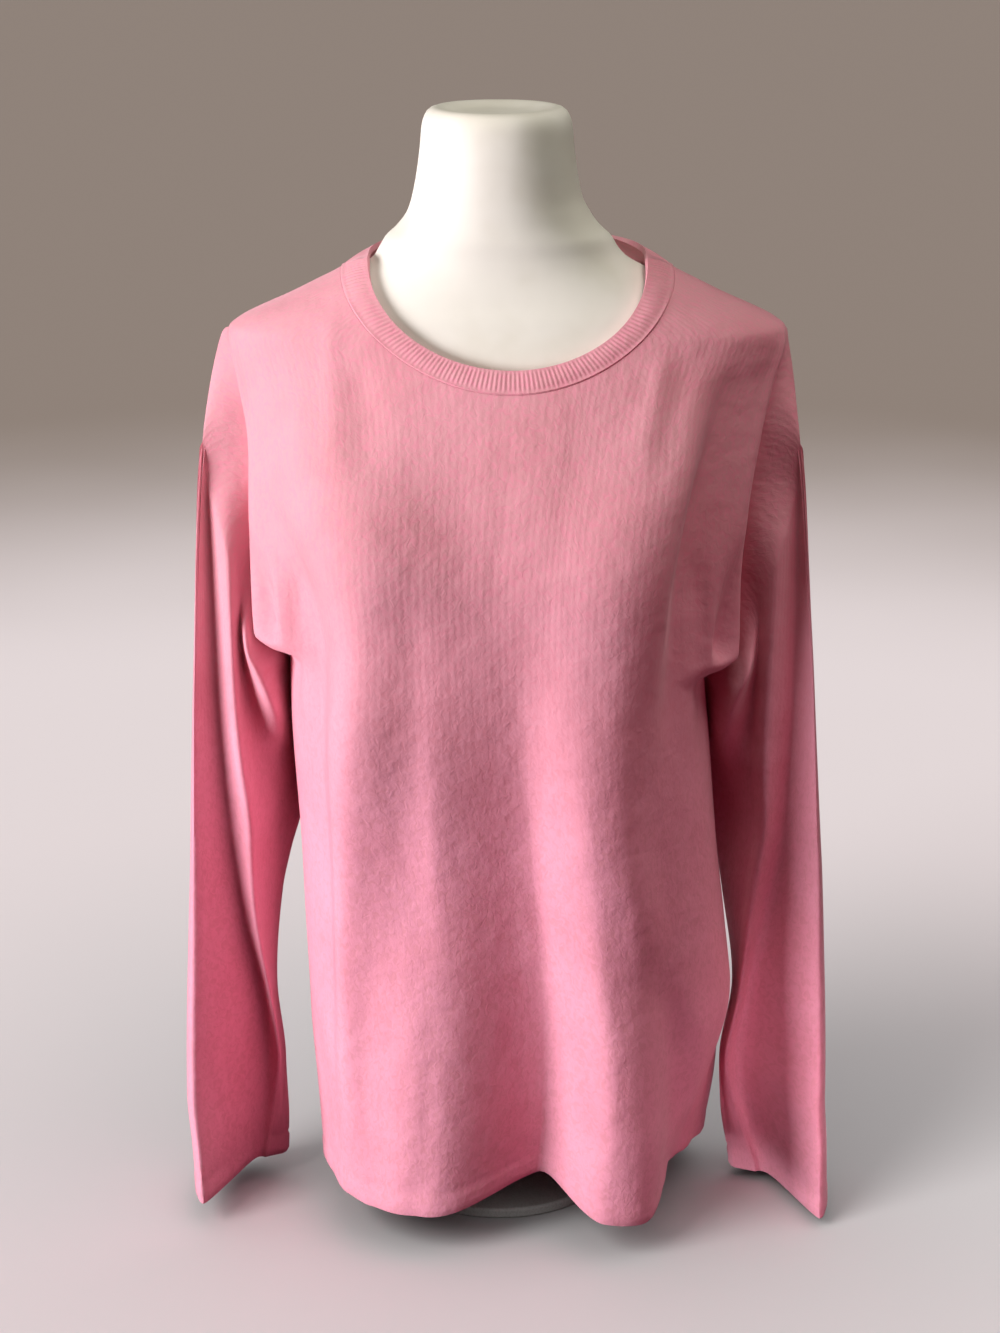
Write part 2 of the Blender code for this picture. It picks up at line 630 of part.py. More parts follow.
def knit_panels():
    front, back = body_grid(FRONT_COLUMNS, True), body_grid(BACK_COLUMNS, False)
    underarm, tip = SKIRT_ROWS, SKIRT_ROWS + ARMHOLE_ROWS
    sewn = np.r_[0 : underarm + 1, tip : len(front)]
    back[sewn, 0] = front[sewn, -1]
    back[sewn, -1] = front[sewn, 0]

    front_turns = neck_turn(panel_places(FRONT_COLUMNS, True), True)
    back_turns = neck_turn(panel_places(BACK_COLUMNS, False), False)
    turns = np.concatenate([front_turns, back_turns[1:-1]])
    band = band_grid(np.concatenate([front[-1], back[-1, 1:-1]]), turns)

    sleeves = {}
    for name, cuff, hand in (("sleeve_left", CUFF_LEFT, -1), ("sleeve_right", CUFF_RIGHT, 1)):
        front_edge, back_edge = (-1, 0) if hand > 0 else (0, -1)
        up = front[underarm : tip + 1, front_edge]
        down = back[underarm + 1 : tip, back_edge][::-1]
        sleeves[name] = Panel(sleeve_grid(np.concatenate([up, down]), cuff, hand), closed=True)
    bodies = {"body_front": Panel(front), "body_back": Panel(back)}
    neckband = Panel(band, wall=BAND_WALL, closed=True)

    share_normals([*bodies.values(), *sleeves.values(), neckband])
    for panel in bodies.values():
        panel.draw_back(np.s_[:, 0], np.s_[:, 1])
        panel.draw_back(np.s_[:, -1], np.s_[:, -2])
        panel.draw_back(np.s_[-1], np.s_[-2])
    for panel in sleeves.values():
        panel.draw_back(np.s_[-1], np.s_[-2])
    neckband.draw_back(np.s_[0], np.s_[1])
    return {**bodies, **sleeves, "neckband": neckband}


# Form


def form_mesh(name):
    """Rings stacked from the hip to the hollow of the neck cap, closed at both ends."""
    turn = np.arange(FORM_SIDES) * 2.0 * math.pi / FORM_SIDES
    side, facing = np.sin(turn), np.cos(turn)
    curve = np.sqrt(np.clip(1.0 - np.abs(side) ** FORM_SQUARE, 0.0, 1.0))
    vertices = []
    for height, shift, half, front, back in FORM:
        depth = np.where(facing > 0.0, -front, back)
        ring = np.stack([shift + half * side, depth * curve, np.full(FORM_SIDES, height)], axis=-1)
        vertices += ring.tolist()
    faces = [tuple(range(FORM_SIDES))[::-1]]
    for ring in range(len(FORM) - 1):
        for k in range(FORM_SIDES):
            a, b = ring * FORM_SIDES + k, ring * FORM_SIDES + (k + 1) % FORM_SIDES
            faces.append((a, b, b + FORM_SIDES, a + FORM_SIDES))
    faces.append(tuple(range((len(FORM) - 1) * FORM_SIDES, len(FORM) * FORM_SIDES)))
    mesh = bpy.data.meshes.new(name)
    mesh.from_pydata(vertices, [], faces)
    return mesh


# Scene


def clear_scene():
    for thing in list(bpy.data.objects):
        bpy.data.objects.remove(thing, do_unlink=True)


def make_material(name, colour, roughness):
    material = bpy.data.materials.new(name)
    material.use_nodes = True
    shader = material.node_tree.nodes["Principled BSDF"]
    shader.inputs["Base Color"].default_value = colour
    shader.inputs["Roughness"].default_value = roughness
    shader.inputs["Metallic"].default_value = 0.0
    return material


def add_object(collection, name, mesh, material, location, parent=None):
    mesh.validate()
    mesh.shade_smooth()
    mesh.set_sharp_from_angle(angle=math.radians(50.0))
    mesh.materials.append(material)
    thing = bpy.data.objects.new(name, mesh)
    thing.location = location
    thing.parent = parent
    collection.objects.link(thing)
    return thing


def add_cylinder(collection, name, radius, bottom, top, sides, material):
    bpy.ops.mesh.primitive_cylinder_add(
        vertices=sides, radius=radius, depth=top - bottom, location=(0.0, 0.0, (top + bottom) / 2.0)
    )
    thing = bpy.context.active_object
    thing.name = thing.data.name = name
    thing.data.shade_smooth()
    thing.data.set_sharp_from_angle(angle=math.radians(50.0))
    thing.data.materials.append(material)
    for other in list(thing.users_collection):
        other.objects.unlink(thing)
    collection.objects.link(thing)
    return thing


def main():
    clear_scene()
    collection = bpy.data.collections.new("cashmere_sweater_on_form")
    bpy.context.scene.collection.children.link(collection)
    axis = bpy.data.objects.new("form_axis", None)
    axis.location = (0.0, -SET_FORWARD, 0.0)
    collection.objects.link(axis)

    for name, panel in knit_panels().items():
        knit = make_material(name + "_cashmere", CASHMERE_PINK, 0.95)
        add_object(collection, name, wall_mesh(name, panel), knit, Vector(), axis)

    shell = make_material("form_shell", SHELL_WHITE, 0.6)
    add_object(collection, "form", form_mesh("form"), shell, Vector(), axis)
    pole_paint = make_material("pole_paint", PAINT_WHITE, 0.4)
    add_cylinder(
        collection,
        "pole",
        POLE_RADIUS,
        BASE_THICKNESS + JOINT_GAP,
        FORM[0][0] - JOINT_GAP,
        POLE_SIDES,
        pole_paint,
    )
    base_paint = make_material("base_paint", PAINT_WHITE, 0.4)
    base = add_cylinder(
        collection, "base", BASE_RADIUS, 0.0, BASE_THICKNESS, BASE_SIDES, base_paint
    )
    edge = base.modifiers.new("rounded edge", "BEVEL")
    edge.width = BASE_EDGE
    edge.segments = 3
    edge.limit_method = "ANGLE"


main()
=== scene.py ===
"""A pink cashmere sweater on a limbless dress form, on a pale studio floor.

Metres, +Z up, front towards -Y. The knit is laid over the same horizontal rings and lines of fold
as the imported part, on a finer grid, with its ribs, hems, seams and small folds. GARMENT_BACK is
where the garment's own axis stands behind the origin.
"""

import json
import math

import bmesh
import bpy
import numpy as np
from bpy.props import FloatProperty, FloatVectorProperty, PointerProperty
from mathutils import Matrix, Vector

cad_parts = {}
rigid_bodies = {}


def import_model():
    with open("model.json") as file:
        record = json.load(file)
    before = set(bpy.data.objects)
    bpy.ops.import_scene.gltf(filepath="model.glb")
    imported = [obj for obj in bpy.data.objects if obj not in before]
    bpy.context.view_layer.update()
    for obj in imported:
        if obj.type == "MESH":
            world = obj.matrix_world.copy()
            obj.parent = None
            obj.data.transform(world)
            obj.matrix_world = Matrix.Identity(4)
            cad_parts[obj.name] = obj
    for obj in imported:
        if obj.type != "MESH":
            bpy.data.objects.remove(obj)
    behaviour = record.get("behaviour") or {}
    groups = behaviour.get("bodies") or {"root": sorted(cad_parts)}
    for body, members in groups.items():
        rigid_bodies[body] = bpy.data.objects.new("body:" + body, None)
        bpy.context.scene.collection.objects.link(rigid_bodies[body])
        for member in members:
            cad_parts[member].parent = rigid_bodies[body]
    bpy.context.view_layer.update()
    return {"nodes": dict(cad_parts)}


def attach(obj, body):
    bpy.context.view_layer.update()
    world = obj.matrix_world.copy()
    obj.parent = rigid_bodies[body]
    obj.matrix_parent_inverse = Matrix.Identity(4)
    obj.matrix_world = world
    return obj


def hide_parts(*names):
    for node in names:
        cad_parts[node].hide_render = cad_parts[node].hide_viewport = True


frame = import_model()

bl_info = {
    "name": "Cashmere Sweater",
    "version": (1, 0, 0),
    "blender": (4, 5, 0),
    "location": "View3D > Sidebar > Sweater",
    "description": "Knits a long-sleeved cashmere sweater on a dress form",
    "category": "Add Mesh",
}

ROOT = "root"

# Knit
WALL = 0.002
BAND_WALL = 0.0034
KNIT_CREASE = 55.0

# Heights of the garment's edges
BODY_HEM = 0.034
HEM_RISE = 0.373
CUFF_LEFT = 0.020
CUFF_RIGHT = 0.008
UNDERARM = 0.424
UNDERARM_DROP = 0.008
SETTLE_SPAN = 0.17
SETTLE_FROM = 0.24
SETTLE_HIGH = 0.46
SETTLE_TO = 0.62
SHOULDER_TIP = 0.668
GARMENT_BACK = -0.050

# Body rings, how square they are, and the bust that the front falls from
FRONT_SQUARE = 2.3
BACK_SQUARE = 2.2
BUST_OUT = 0.070
BUST_HEIGHT = 0.525
BUST_RADIUS = 0.050
BUST_PUSH = 0.006
BODY = (
    # height, shift, half_width, front, back
    (0.000, 0.0100, 0.1440, 0.0990, 0.121),
    (0.034, 0.0110, 0.1460, 0.1000, 0.120),
    (0.100, 0.0140, 0.1525, 0.1060, 0.118),
    (0.165, 0.0145, 0.1560, 0.1090, 0.115),
    (0.230, 0.0110, 0.1535, 0.1110, 0.111),
    (0.300, 0.0060, 0.1505, 0.1130, 0.106),
    (0.370, 0.0010, 0.1500, 0.1150, 0.101),
    (0.430, -0.0020, 0.1480, 0.1165, 0.097),
    (0.500, -0.0030, 0.1490, 0.1175, 0.096),
    (0.550, -0.0010, 0.1530, 0.1120, 0.098),
    (0.600, 0.0030, 0.1640, 0.0990, 0.097),
    (0.635, 0.0040, 0.1770, 0.0845, 0.091),
    (0.655, 0.0050, 0.1880, 0.0755, 0.082),
    (0.668, 0.0050, 0.1930, 0.0700, 0.074),
    (0.675, 0.0050, 0.1855, 0.0675, 0.070),
    (0.6815, 0.0050, 0.1730, 0.0650, 0.066),
    (0.6907, 0.0050, 0.1523, 0.0615, 0.060),
    (0.700, 0.0050, 0.1335, 0.0590, 0.054),
    (0.7095, 0.0050, 0.1150, 0.0570, 0.047),
    (0.724, 0.0050, 0.0935, 0.0550, 0.040),
)

# The soft roll that the body's cloth makes over each armhole, past the ring of the body
ROLL_FROM = 0.60
ROLL_FULL = 0.95
SEAM_FROM = 0.80
ROLL = (
    # height, out_front, out_back, front, back
    (0.424, 0.0000, 0.0000, 0.000, 0.000),
    (0.429, 0.0020, 0.0020, 0.002, 0.001),
    (0.434, 0.0100, 0.0090, 0.008, 0.005),
    (0.440, 0.0235, 0.0215, 0.018, 0.011),
    (0.447, 0.0340, 0.0275, 0.023, 0.014),
    (0.470, 0.0360, 0.0290, 0.024, 0.015),
    (0.510, 0.0350, 0.0285, 0.023, 0.015),
    (0.555, 0.0300, 0.0255, 0.019, 0.014),
    (0.600, 0.0200, 0.0180, 0.012, 0.010),
    (0.635, 0.0100, 0.0100, 0.006, 0.005),
    (0.668, 0.0000, 0.0000, 0.000, 0.000),
)

# Where the armhole seam lies: in from the end of the ring, and forward and back of its middle
ARMHOLE = (
    # height, inset_front, inset_back, front, back
    (0.424, 0.0000, 0.0000, 0.000, 0.000),
    (0.434, 0.0020, 0.0010, 0.004, 0.006),
    (0.447, 0.0145, 0.0060, 0.008, 0.015),
    (0.475, 0.0170, 0.0100, 0.011, 0.020),
    (0.520, 0.0165, 0.0100, 0.014, 0.030),
    (0.560, 0.0125, 0.0080, 0.018, 0.032),
    (0.600, 0.0070, 0.0050, 0.020, 0.030),
    (0.630, 0.0020, 0.0020, 0.018, 0.024),
    (0.655, 0.0005, 0.0005, 0.011, 0.014),
    (0.668, 0.0000, 0.0000, 0.000, 0.000),
)

# Folds of the body. Places are quarter turns from centre front, to the right. Each fold leans from
# its foot at the hem to its head at its top, and is deepest at its peak.
FOLDS = (
    # name, foot, head, spread_left, spread_right, push, bottom, peak, top
    ("front hollow", 0.095, 0.059, 0.404, 0.187, -0.0465, -0.50, 0.05, 0.588),
    ("front right lobe", 0.407, 0.269, 0.278, 0.181, 0.0148, -0.50, 0.10, 0.620),
    ("right flank", 0.723, 0.191, 0.302, 0.202, -0.0105, -0.50, 0.20, 0.330),
    ("front left lobe", -0.288, -0.390, 0.220, 0.443, 0.0229, -0.50, 0.10, 0.620),
    ("left long ridge", -0.500, -0.399, 0.202, 0.207, 0.0283, -0.50, 0.30, 0.620),
    ("left long hollow", -0.555, -0.350, 0.156, 0.192, -0.0189, -0.50, 0.30, 0.433),
    ("left broad hollow", -0.332, -0.346, 0.267, 0.435, -0.0257, -0.50, 0.25, 0.407),
    ("middle ridge", 0.002, 0.196, 0.181, 0.082, 0.0023, -0.50, 0.30, 0.344),
    ("right chest", 0.313, 0.515, 0.330, 0.158, 0.0235, 0.30, 0.56, 0.668),
    ("centre chest", 0.046, 0.234, 0.347, 0.238, 0.0027, 0.43, 0.56, 0.668),
    ("left chest", -0.300, -0.582, 0.323, 0.450, 0.0265, 0.45, 0.56, 0.668),
    ("right side hollow", 0.840, 0.840, 0.34, 0.50, -0.026, -0.50, 0.045, 0.19),
    ("right back corner", 1.420, 1.360, 0.28, 0.45, 0.030, -0.50, 0.05, 0.24),
    ("centre back hollow", 2.060, 2.040, 0.34, 0.30, -0.026, -0.50, 0.05, 0.46),
    ("left back lobe", -1.560, -1.540, 0.30, 0.30, 0.008, -0.50, 0.08, 0.46),
    ("left side hollow", -0.840, -0.840, 0.34, 0.22, -0.006, -0.50, 0.05, 0.28),
    ("left trough", -0.800, -0.840, 0.09, 0.10, -0.016, 0.432, 0.462, 0.545),
    ("right trough", 0.800, 0.840, 0.10, 0.09, -0.016, 0.432, 0.462, 0.545),
    ("left ridge", -0.700, -0.700, 0.10, 0.10, 0.004, 0.360, 0.440, 0.530),
    ("right ridge", 0.700, 0.700, 0.10, 0.10, 0.004, 0.360, 0.440, 0.530),
)

# Neckline seam and the inner edge of its rib band. From the front each is an ellipse whose lower
# part leans to the right, and POWER above 1 draws it towards a V.
NECK_CENTRE = 0.005
NECK_LEAN = 0.003
NECK_HALF_WIDTH = 0.115
NECK_LEVEL = 0.7095
NECK_DROP_FRONT = 0.0725
NECK_DROP_BACK = 0.002
NECK_POWER = 1.3
NECK_SAMPLES = 361
BAND_HALF_WIDTH = 0.0955
BAND_LEVEL = 0.719
BAND_DROP_FRONT = 0.0665
BAND_DROP_BACK = -0.010
BAND_POWER = 1.05
BAND_BACK = 0.0500
BAND_BACK_POWER = 0.6
BAND_SAMPLES = 2881
BAND_SWELL = 0.0012

# Sleeves. Each line of fold runs down the sleeve in one of its columns, which are counted from the
# underarm over the front. The two sides are mirrored but for SLEEVE_SHIFT, which moves the lines
# nearer the body (inner) and those farther out (outer) to the right.
STATIONS = 28
SLEEVE_ROUND = 0.026
SHOULDER_ROUND = 0.013
INNER_TO = 0.175
OUTER_FROM = 0.205
SLEEVE_SHIFT = (
    # height, inner, outer
    (0.008, 0.0070, 0.0090),
    (0.060, 0.0035, 0.0070),
    (0.100, 0.0020, 0.0045),
    (0.165, 0.0035, 0.0045),
    (0.240, 0.0018, 0.0045),
    (0.270, 0.0028, 0.0045),
    (0.310, 0.0050, 0.0040),
    (0.360, 0.0010, 0.0035),
    (0.400, -0.0010, 0.0032),
    (0.430, -0.0015, 0.0030),
    (0.500, 0.0000, 0.0020),
    (0.600, 0.0005, 0.0010),
    (0.668, 0.0030, 0.0030),
)
SLEEVE_LINES = {
    # column: rows of height, out, back
    0: (
        (0.015, 0.1700, 0.050),
        (0.060, 0.1655, 0.047),
        (0.100, 0.1655, 0.046),
        (0.165, 0.1712, 0.040),
        (0.240, 0.1633, 0.037),
        (0.270, 0.1575, 0.036),
        (0.300, 0.1508, 0.036),
        (0.330, 0.1485, 0.036),
        (0.370, 0.1480, 0.037),
        (0.400, 0.1465, 0.033),
        (0.424, 0.1525, 0.010),
        (0.447, 0.1700, 0.000),
    ),
    3: (
        (0.015, 0.1710, 0.041),
        (0.100, 0.1655, 0.038),
        (0.165, 0.1712, 0.028),
        (0.270, 0.1640, 0.022),
        (0.340, 0.1610, 0.012),
        (0.378, 0.1585, -0.012),
        (0.400, 0.1620, -0.026),
        (0.420, 0.1690, -0.034),
        (0.436, 0.1750, -0.037),
        (0.455, 0.1790, -0.031),
        (0.475, 0.1800, -0.026),
    ),
    6: (
        (0.015, 0.1780, 0.037),
        (0.100, 0.1660, 0.029),
        (0.165, 0.1720, 0.014),
        (0.220, 0.1750, 0.004),
        (0.320, 0.1780, -0.008),
        (0.370, 0.1790, -0.008),
        (0.410, 0.1810, -0.012),
        (0.450, 0.1830, -0.020),
        (0.520, 0.1800, -0.022),
        (0.600, 0.1860, -0.025),
    ),
    8: (
        (0.015, 0.1860, 0.033),
        (0.060, 0.1750, 0.031),
        (0.110, 0.1680, 0.018),
        (0.165, 0.1735, 0.002),
        (0.220, 0.1790, -0.012),
        (0.300, 0.1850, -0.023),
        (0.360, 0.1875, -0.028),
        (0.480, 0.1915, -0.032),
        (0.550, 0.1930, -0.031),
        (0.600, 0.1940, -0.029),
        (0.625, 0.1930, -0.024),
    ),
    10: (
        (0.015, 0.1970, 0.026),
        (0.060, 0.1900, 0.027),
        (0.110, 0.1840, 0.023),
        (0.165, 0.1860, 0.012),
        (0.220, 0.1930, 0.000),
        (0.300, 0.2020, -0.010),
        (0.420, 0.2065, -0.016),
        (0.550, 0.2060, -0.018),
        (0.600, 0.2050, -0.020),
        (0.640, 0.2000, -0.013),
    ),
    12: (
        (0.015, 0.2275, -0.046),
        (0.110, 0.2285, -0.041),
        (0.230, 0.2265, -0.036),
        (0.360, 0.2220, -0.032),
        (0.480, 0.2160, -0.028),
        (0.550, 0.2115, -0.024),
        (0.600, 0.2065, -0.018),
        (0.640, 0.2015, -0.010),
        (0.660, 0.1980, -0.004),
    ),
    16: (
        (0.015, 0.2355, 0.024),
        (0.110, 0.2325, 0.026),
        (0.230, 0.2275, 0.027),
        (0.360, 0.2205, 0.026),
        (0.480, 0.2140, 0.024),
        (0.550, 0.2095, 0.021),
        (0.600, 0.2050, 0.016),
        (0.640, 0.2000, 0.009),
        (0.660, 0.1970, 0.004),
    ),
    22: (
        (0.015, 0.2060, 0.068),
        (0.165, 0.1980, 0.066),
        (0.270, 0.1910, 0.063),
        (0.360, 0.1870, 0.059),
        (0.480, 0.1850, 0.053),
        (0.550, 0.1860, 0.046),
        (0.600, 0.1900, 0.035),
        (0.640, 0.1950, 0.020),
    ),
    25: (
        (0.015, 0.1860, 0.062),
        (0.165, 0.1800, 0.056),
        (0.270, 0.1720, 0.053),
        (0.360, 0.1680, 0.050),
        (0.410, 0.1740, 0.046),
        (0.440, 0.1820, 0.037),
        (0.480, 0.1830, 0.044),
        (0.560, 0.1830, 0.042),
    ),
}

# Grids of the knit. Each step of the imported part's armhole takes FINE steps here.
FINE = 5
ARMHOLE_STEPS = 14
ARMHOLE_CROWDING = 1.4
FRONT_COLUMNS = 160
BACK_COLUMNS = 112
COLUMN_CROWDING = 0.3
SKIRT_ROWS = 110
SHOULDER_ROWS = 20
SIDE_SAMPLES = 241
TIP_ROW = SKIRT_ROWS + ARMHOLE_STEPS * FINE
SLEEVE_ROWS = 200
SLEEVE_CROWDING = 1.35

# Ribs of the neckband, and the cord of its linked seam and of its bound edge. Places and spreads
# are shares of the way up the band.
RIB_PITCH = 0.0034
RIB_STEPS = 8
RIB_DEPTH = 0.00018
RIB_POWER = 0.7
RIBS_FROM = 0.12
RIBS_TO = 0.95
RIBS_FADE = 0.10
BAND_ROWS = 14
LINK_HEIGHT = 0.0007
LINK_PLACE = 0.07
LINK_SPREAD = 0.06
LINK_GROOVE = 0.0004
GROOVE_SPREAD = 0.03
BOUND_HEIGHT = 0.0004
BOUND_PLACE = 0.97
BOUND_SPREAD = 0.05

# Flat cuts of the body's panels
BODY_CUTS = (
    # node, width and length, area
    ("body_front", (0.50, 0.66), 0.285),
    ("body_back", (0.49, 0.69), 0.300),
)

# Turned hems
HEM_LINE = 0.0165
HEM_SWELL = 0.0005
HEM_FADE = 0.003
HEM_DIP = 0.0007
DIP_SPREAD = 0.0012
HEM_ROUND = 0.0012
ROUND_SPREAD = 0.0022

# Small folds in the front of the body, each a ridge or a dip along a line from foot to head, in
# metres from the garment's axis. Its width is to where it has mostly gone, narrower at its head, and
# taper is a share of its length over which it starts and ends. They fade out at the side seams.
FOLD_NARROW = 0.8
FOLD_WIDENING = 0.4
FOLD_CLEARANCE = 0.012
SMALL_FOLDS = (
    # name, foot_x, foot_z, head_x, head_z, width, taper, push
    ("left neck pucker", -0.112, 0.600, -0.114, 0.656, 0.009, 0.8, 0.0014),
    ("left neck dip", -0.090, 0.605, -0.093, 0.640, 0.012, 0.8, -0.0016),
    ("right neck pucker", 0.100, 0.612, 0.107, 0.646, 0.008, 0.8, 0.0014),
    ("right neck dip", 0.110, 0.602, 0.121, 0.636, 0.010, 0.8, -0.0015),
    ("left underarm crease", -0.141, 0.450, -0.140, 0.490, 0.010, 1.0, -0.0036),
    ("right underarm crease", 0.140, 0.448, 0.137, 0.490, 0.010, 1.0, -0.0034),
)

# Dress form
FORM_CREASE = 50.0
FORM_SQUARE = 2.15
FORM_SIDES = 144
FORM_ROWS = 220
FORM = (
    # height, shift, half_width, front, back
    (0.2400, 0.001, 0.1100, 0.0640, 0.0740),
    (0.2430, 0.001, 0.1155, 0.0690, 0.0790),
    (0.2500, 0.001, 0.1190, 0.0720, 0.0820),
    (0.2700, 0.001, 0.1200, 0.0740, 0.0820),
    (0.3200, 0.000, 0.1160, 0.0780, 0.0770),
    (0.3700, 0.000, 0.1140, 0.0830, 0.0740),
    (0.4200, 0.000, 0.1190, 0.0920, 0.0750),
    (0.4700, 0.000, 0.1290, 0.1050, 0.0800),
    (0.5150, 0.000, 0.1370, 0.1120, 0.0840),
    (0.5550, 0.000, 0.1430, 0.1050, 0.0870),
    (0.6000, 0.001, 0.1540, 0.0910, 0.0850),
    (0.6350, 0.002, 0.1670, 0.0770, 0.0790),
    (0.6550, 0.003, 0.1740, 0.0690, 0.0720),
    (0.6660, 0.003, 0.1735, 0.0650, 0.0680),
    (0.6740, 0.003, 0.1680, 0.0620, 0.0640),
    (0.6815, 0.003, 0.1580, 0.0595, 0.0590),
    (0.6907, 0.003, 0.1410, 0.0560, 0.0540),
    (0.7000, 0.002, 0.1200, 0.0535, 0.0480),
    (0.7095, 0.001, 0.1000, 0.0515, 0.0410),
    (0.7175, 0.000, 0.0870, 0.0505, 0.0395),
    (0.7240, -0.001, 0.0820, 0.0500, 0.0410),
    (0.7315, -0.001, 0.0775, 0.0500, 0.0440),
    (0.7380, -0.001, 0.0705, 0.0495, 0.0455),
    (0.7470, -0.001, 0.0635, 0.0490, 0.0470),
    (0.7600, -0.002, 0.0580, 0.0490, 0.0485),
    (0.7900, -0.002, 0.0530, 0.0495, 0.0500),
    (0.8080, -0.002, 0.0512, 0.0490, 0.0490),
    (0.8155, -0.002, 0.0485, 0.0465, 0.0465),
    (0.8190, -0.002, 0.0440, 0.0420, 0.0420),
    (0.8195, -0.002, 0.0400, 0.0380, 0.0380),
    (0.8180, -0.002, 0.0350, 0.0335, 0.0335),
    (0.8155, -0.002, 0.0280, 0.0265, 0.0265),
    (0.8145, -0.002, 0.0120, 0.0110, 0.0110),
)

# Looks of the knit. Across and along the cut, curls and wales are drawn out; by height, light and
# shade are painted into the yarn: duller and darker over the chest and shoulders, deeper pink lower
# down, as if lit by light thrown back between the folds. The chest is drawn out over the form, so its
# wales show, and lower down the nap veils them.
CURL_STRETCH = (1.0, 0.7, 1.0)
WALE_STRETCH = (1.0, 0.16, 1.0)
WAVE_RADIANS = 20.0  # that a wave texture turns through in a metre at scale 1
RIBBED_WALES = 0.35
UNEVEN_HEIGHT = 0.0015
# The heights where each starts and ends, and its shares below and above them. The first paints light
# and shade into the yarn's colour by height.
PAINTED_SHADE_HEIGHTS = (0.28, 0.60, 0.0, 1.0)
WALES_CLEAR = (0.32, 0.52, 0.22, 0.8)

# Stage
NEAR_FROM = 0.2
LENS = 85.6
FLOOR_HALF = 40.0
WASHES = (
    # name, turn from the front to the right, rise, spread, share
    ("slant wash", -46.0, 40.0, 30.0, 0.34),
    ("high wash", 0.0, 80.0, 120.0, 0.42),
)
LAMPS = (
    # name, turn from the front to the right, rise, distance, width, height, spread, the point it
    # aims at (aim_x, aim_z), and what it lights: the part without its stand, or only the knit
    ("key", -62.0, 0.0, 2.7, 1.4, 1.4, 180.0, 0.0, 0.45, "part"),
    ("top", 12.0, 74.0, 2.7, 2.2, 1.4, 180.0, 0.0, 0.45, "part"),
    ("far_top", 55.0, 68.0, 2.7, 1.4, 1.4, 180.0, 0.0, 0.45, "part"),
    ("rim", -150.0, 5.0, 2.7, 1.4, 1.4, 180.0, 0.0, 0.45, "part"),
    ("fill", 75.0, 15.0, 2.7, 1.6, 1.6, 180.0, 0.0, 0.45, "part"),
    ("blush", 35.0, -6.0, 2.7, 1.6, 1.2, 180.0, 0.0, 0.45, "knit"),
    ("card", 4.0, 4.0, 0.50, 0.10, 0.10, 42.0, 0.235, 0.09, "knit"),
)


# Curves through tables


def smooth(share):
    """A rise from 0 to 1 that is level at both ends."""
    share = np.clip(share, 0.0, 1.0)
    return share * share * (3.0 - 2.0 * share)


def cubic(start, end, start_slope, end_slope, span, t):
    rest = 1.0 - t
    ends = start * (1.0 + 2.0 * t) * rest**2 + end * (3.0 - 2.0 * t) * t**2
    return ends + span * t * rest * (start_slope * rest - end_slope * t)


def column(table, index, height):
    """One column of a table at any height, as a curve that turns only where its rows turn."""
    rows = np.array([(row[0], row[index]) for row in table])
    at, value = rows.T
    step = np.diff(at)
    rise = np.diff(value) / step
    slope = np.concatenate([rise[:1], np.zeros(len(rise) - 1), rise[-1:]])
    both = rise[:-1] + rise[1:]
    onward = rise[:-1] * rise[1:] > 0
    slope[1:-1][onward] = (2.0 * rise[:-1] * rise[1:])[onward] / both[onward]
    height = np.clip(height, at[0], at[-1])
    i = np.clip(np.searchsorted(at, height) - 1, 0, len(step) - 1)
    t = (height - at[i]) / step[i]
    return cubic(value[i], value[i + 1], slope[i], slope[i + 1], step[i], t)


def closed_curve(stations, around, values, place):
    """A smooth closed curve through values[k] at stations[k], with around as one whole turn."""
    count = len(stations)
    place = np.mod(place, around)
    i = np.searchsorted(stations, place, side="right") - 1

    def station(k):
        return stations[k % count] + around * (k // count)

    def value(k):
        return np.take_along_axis(values, np.expand_dims(k % count, 0), 0)[0]

    start_slope = (value(i + 1) - value(i - 1)) / (station(i + 1) - station(i - 1))
    end_slope = (value(i + 2) - value(i)) / (station(i + 2) - station(i))
    span = station(i + 1) - station(i)
    t = (place - station(i)) / span
    return cubic(value(i), value(i + 1), start_slope, end_slope, span, t)


def running(steps):
    """How far along a line each of its points lies, from the steps between them."""
    return np.concatenate([[0.0], np.cumsum(steps)])


def ring_curve(side, square):
    """How deep a squarish ring is at each share of its half width, as a share of its depth."""
    return np.sqrt(np.clip(1.0 - np.abs(side) ** square, 0.0, 1.0))


def unit(vectors):
    return vectors / np.maximum(np.linalg.norm(vectors, axis=-1, keepdims=True), 1e-12)


# Body. A place on it is in quarter turns: 0 centre front, 1 right side, 2 centre back, -1 left side.


def fold_push(place, height):
    """How far the folds push the body outwards."""
    total = np.zeros(np.broadcast(place, height).shape)
    for _, foot, head, left, right, push, bottom, peak, top in FOLDS:
        middle = foot + (head - foot) * np.clip(height / top, 0.0, 1.0)
        off = np.mod(place - middle + 2.0, 4.0) - 2.0
        near = np.clip(np.abs(off) / np.where(off < 0.0, left, right), 0.0, 1.0)
        along = smooth((top - height) / (top - peak)) * smooth((height - bottom) / (peak - bottom))
        total = total + push * along * 0.5 * (1.0 + np.cos(math.pi * near))
    return total


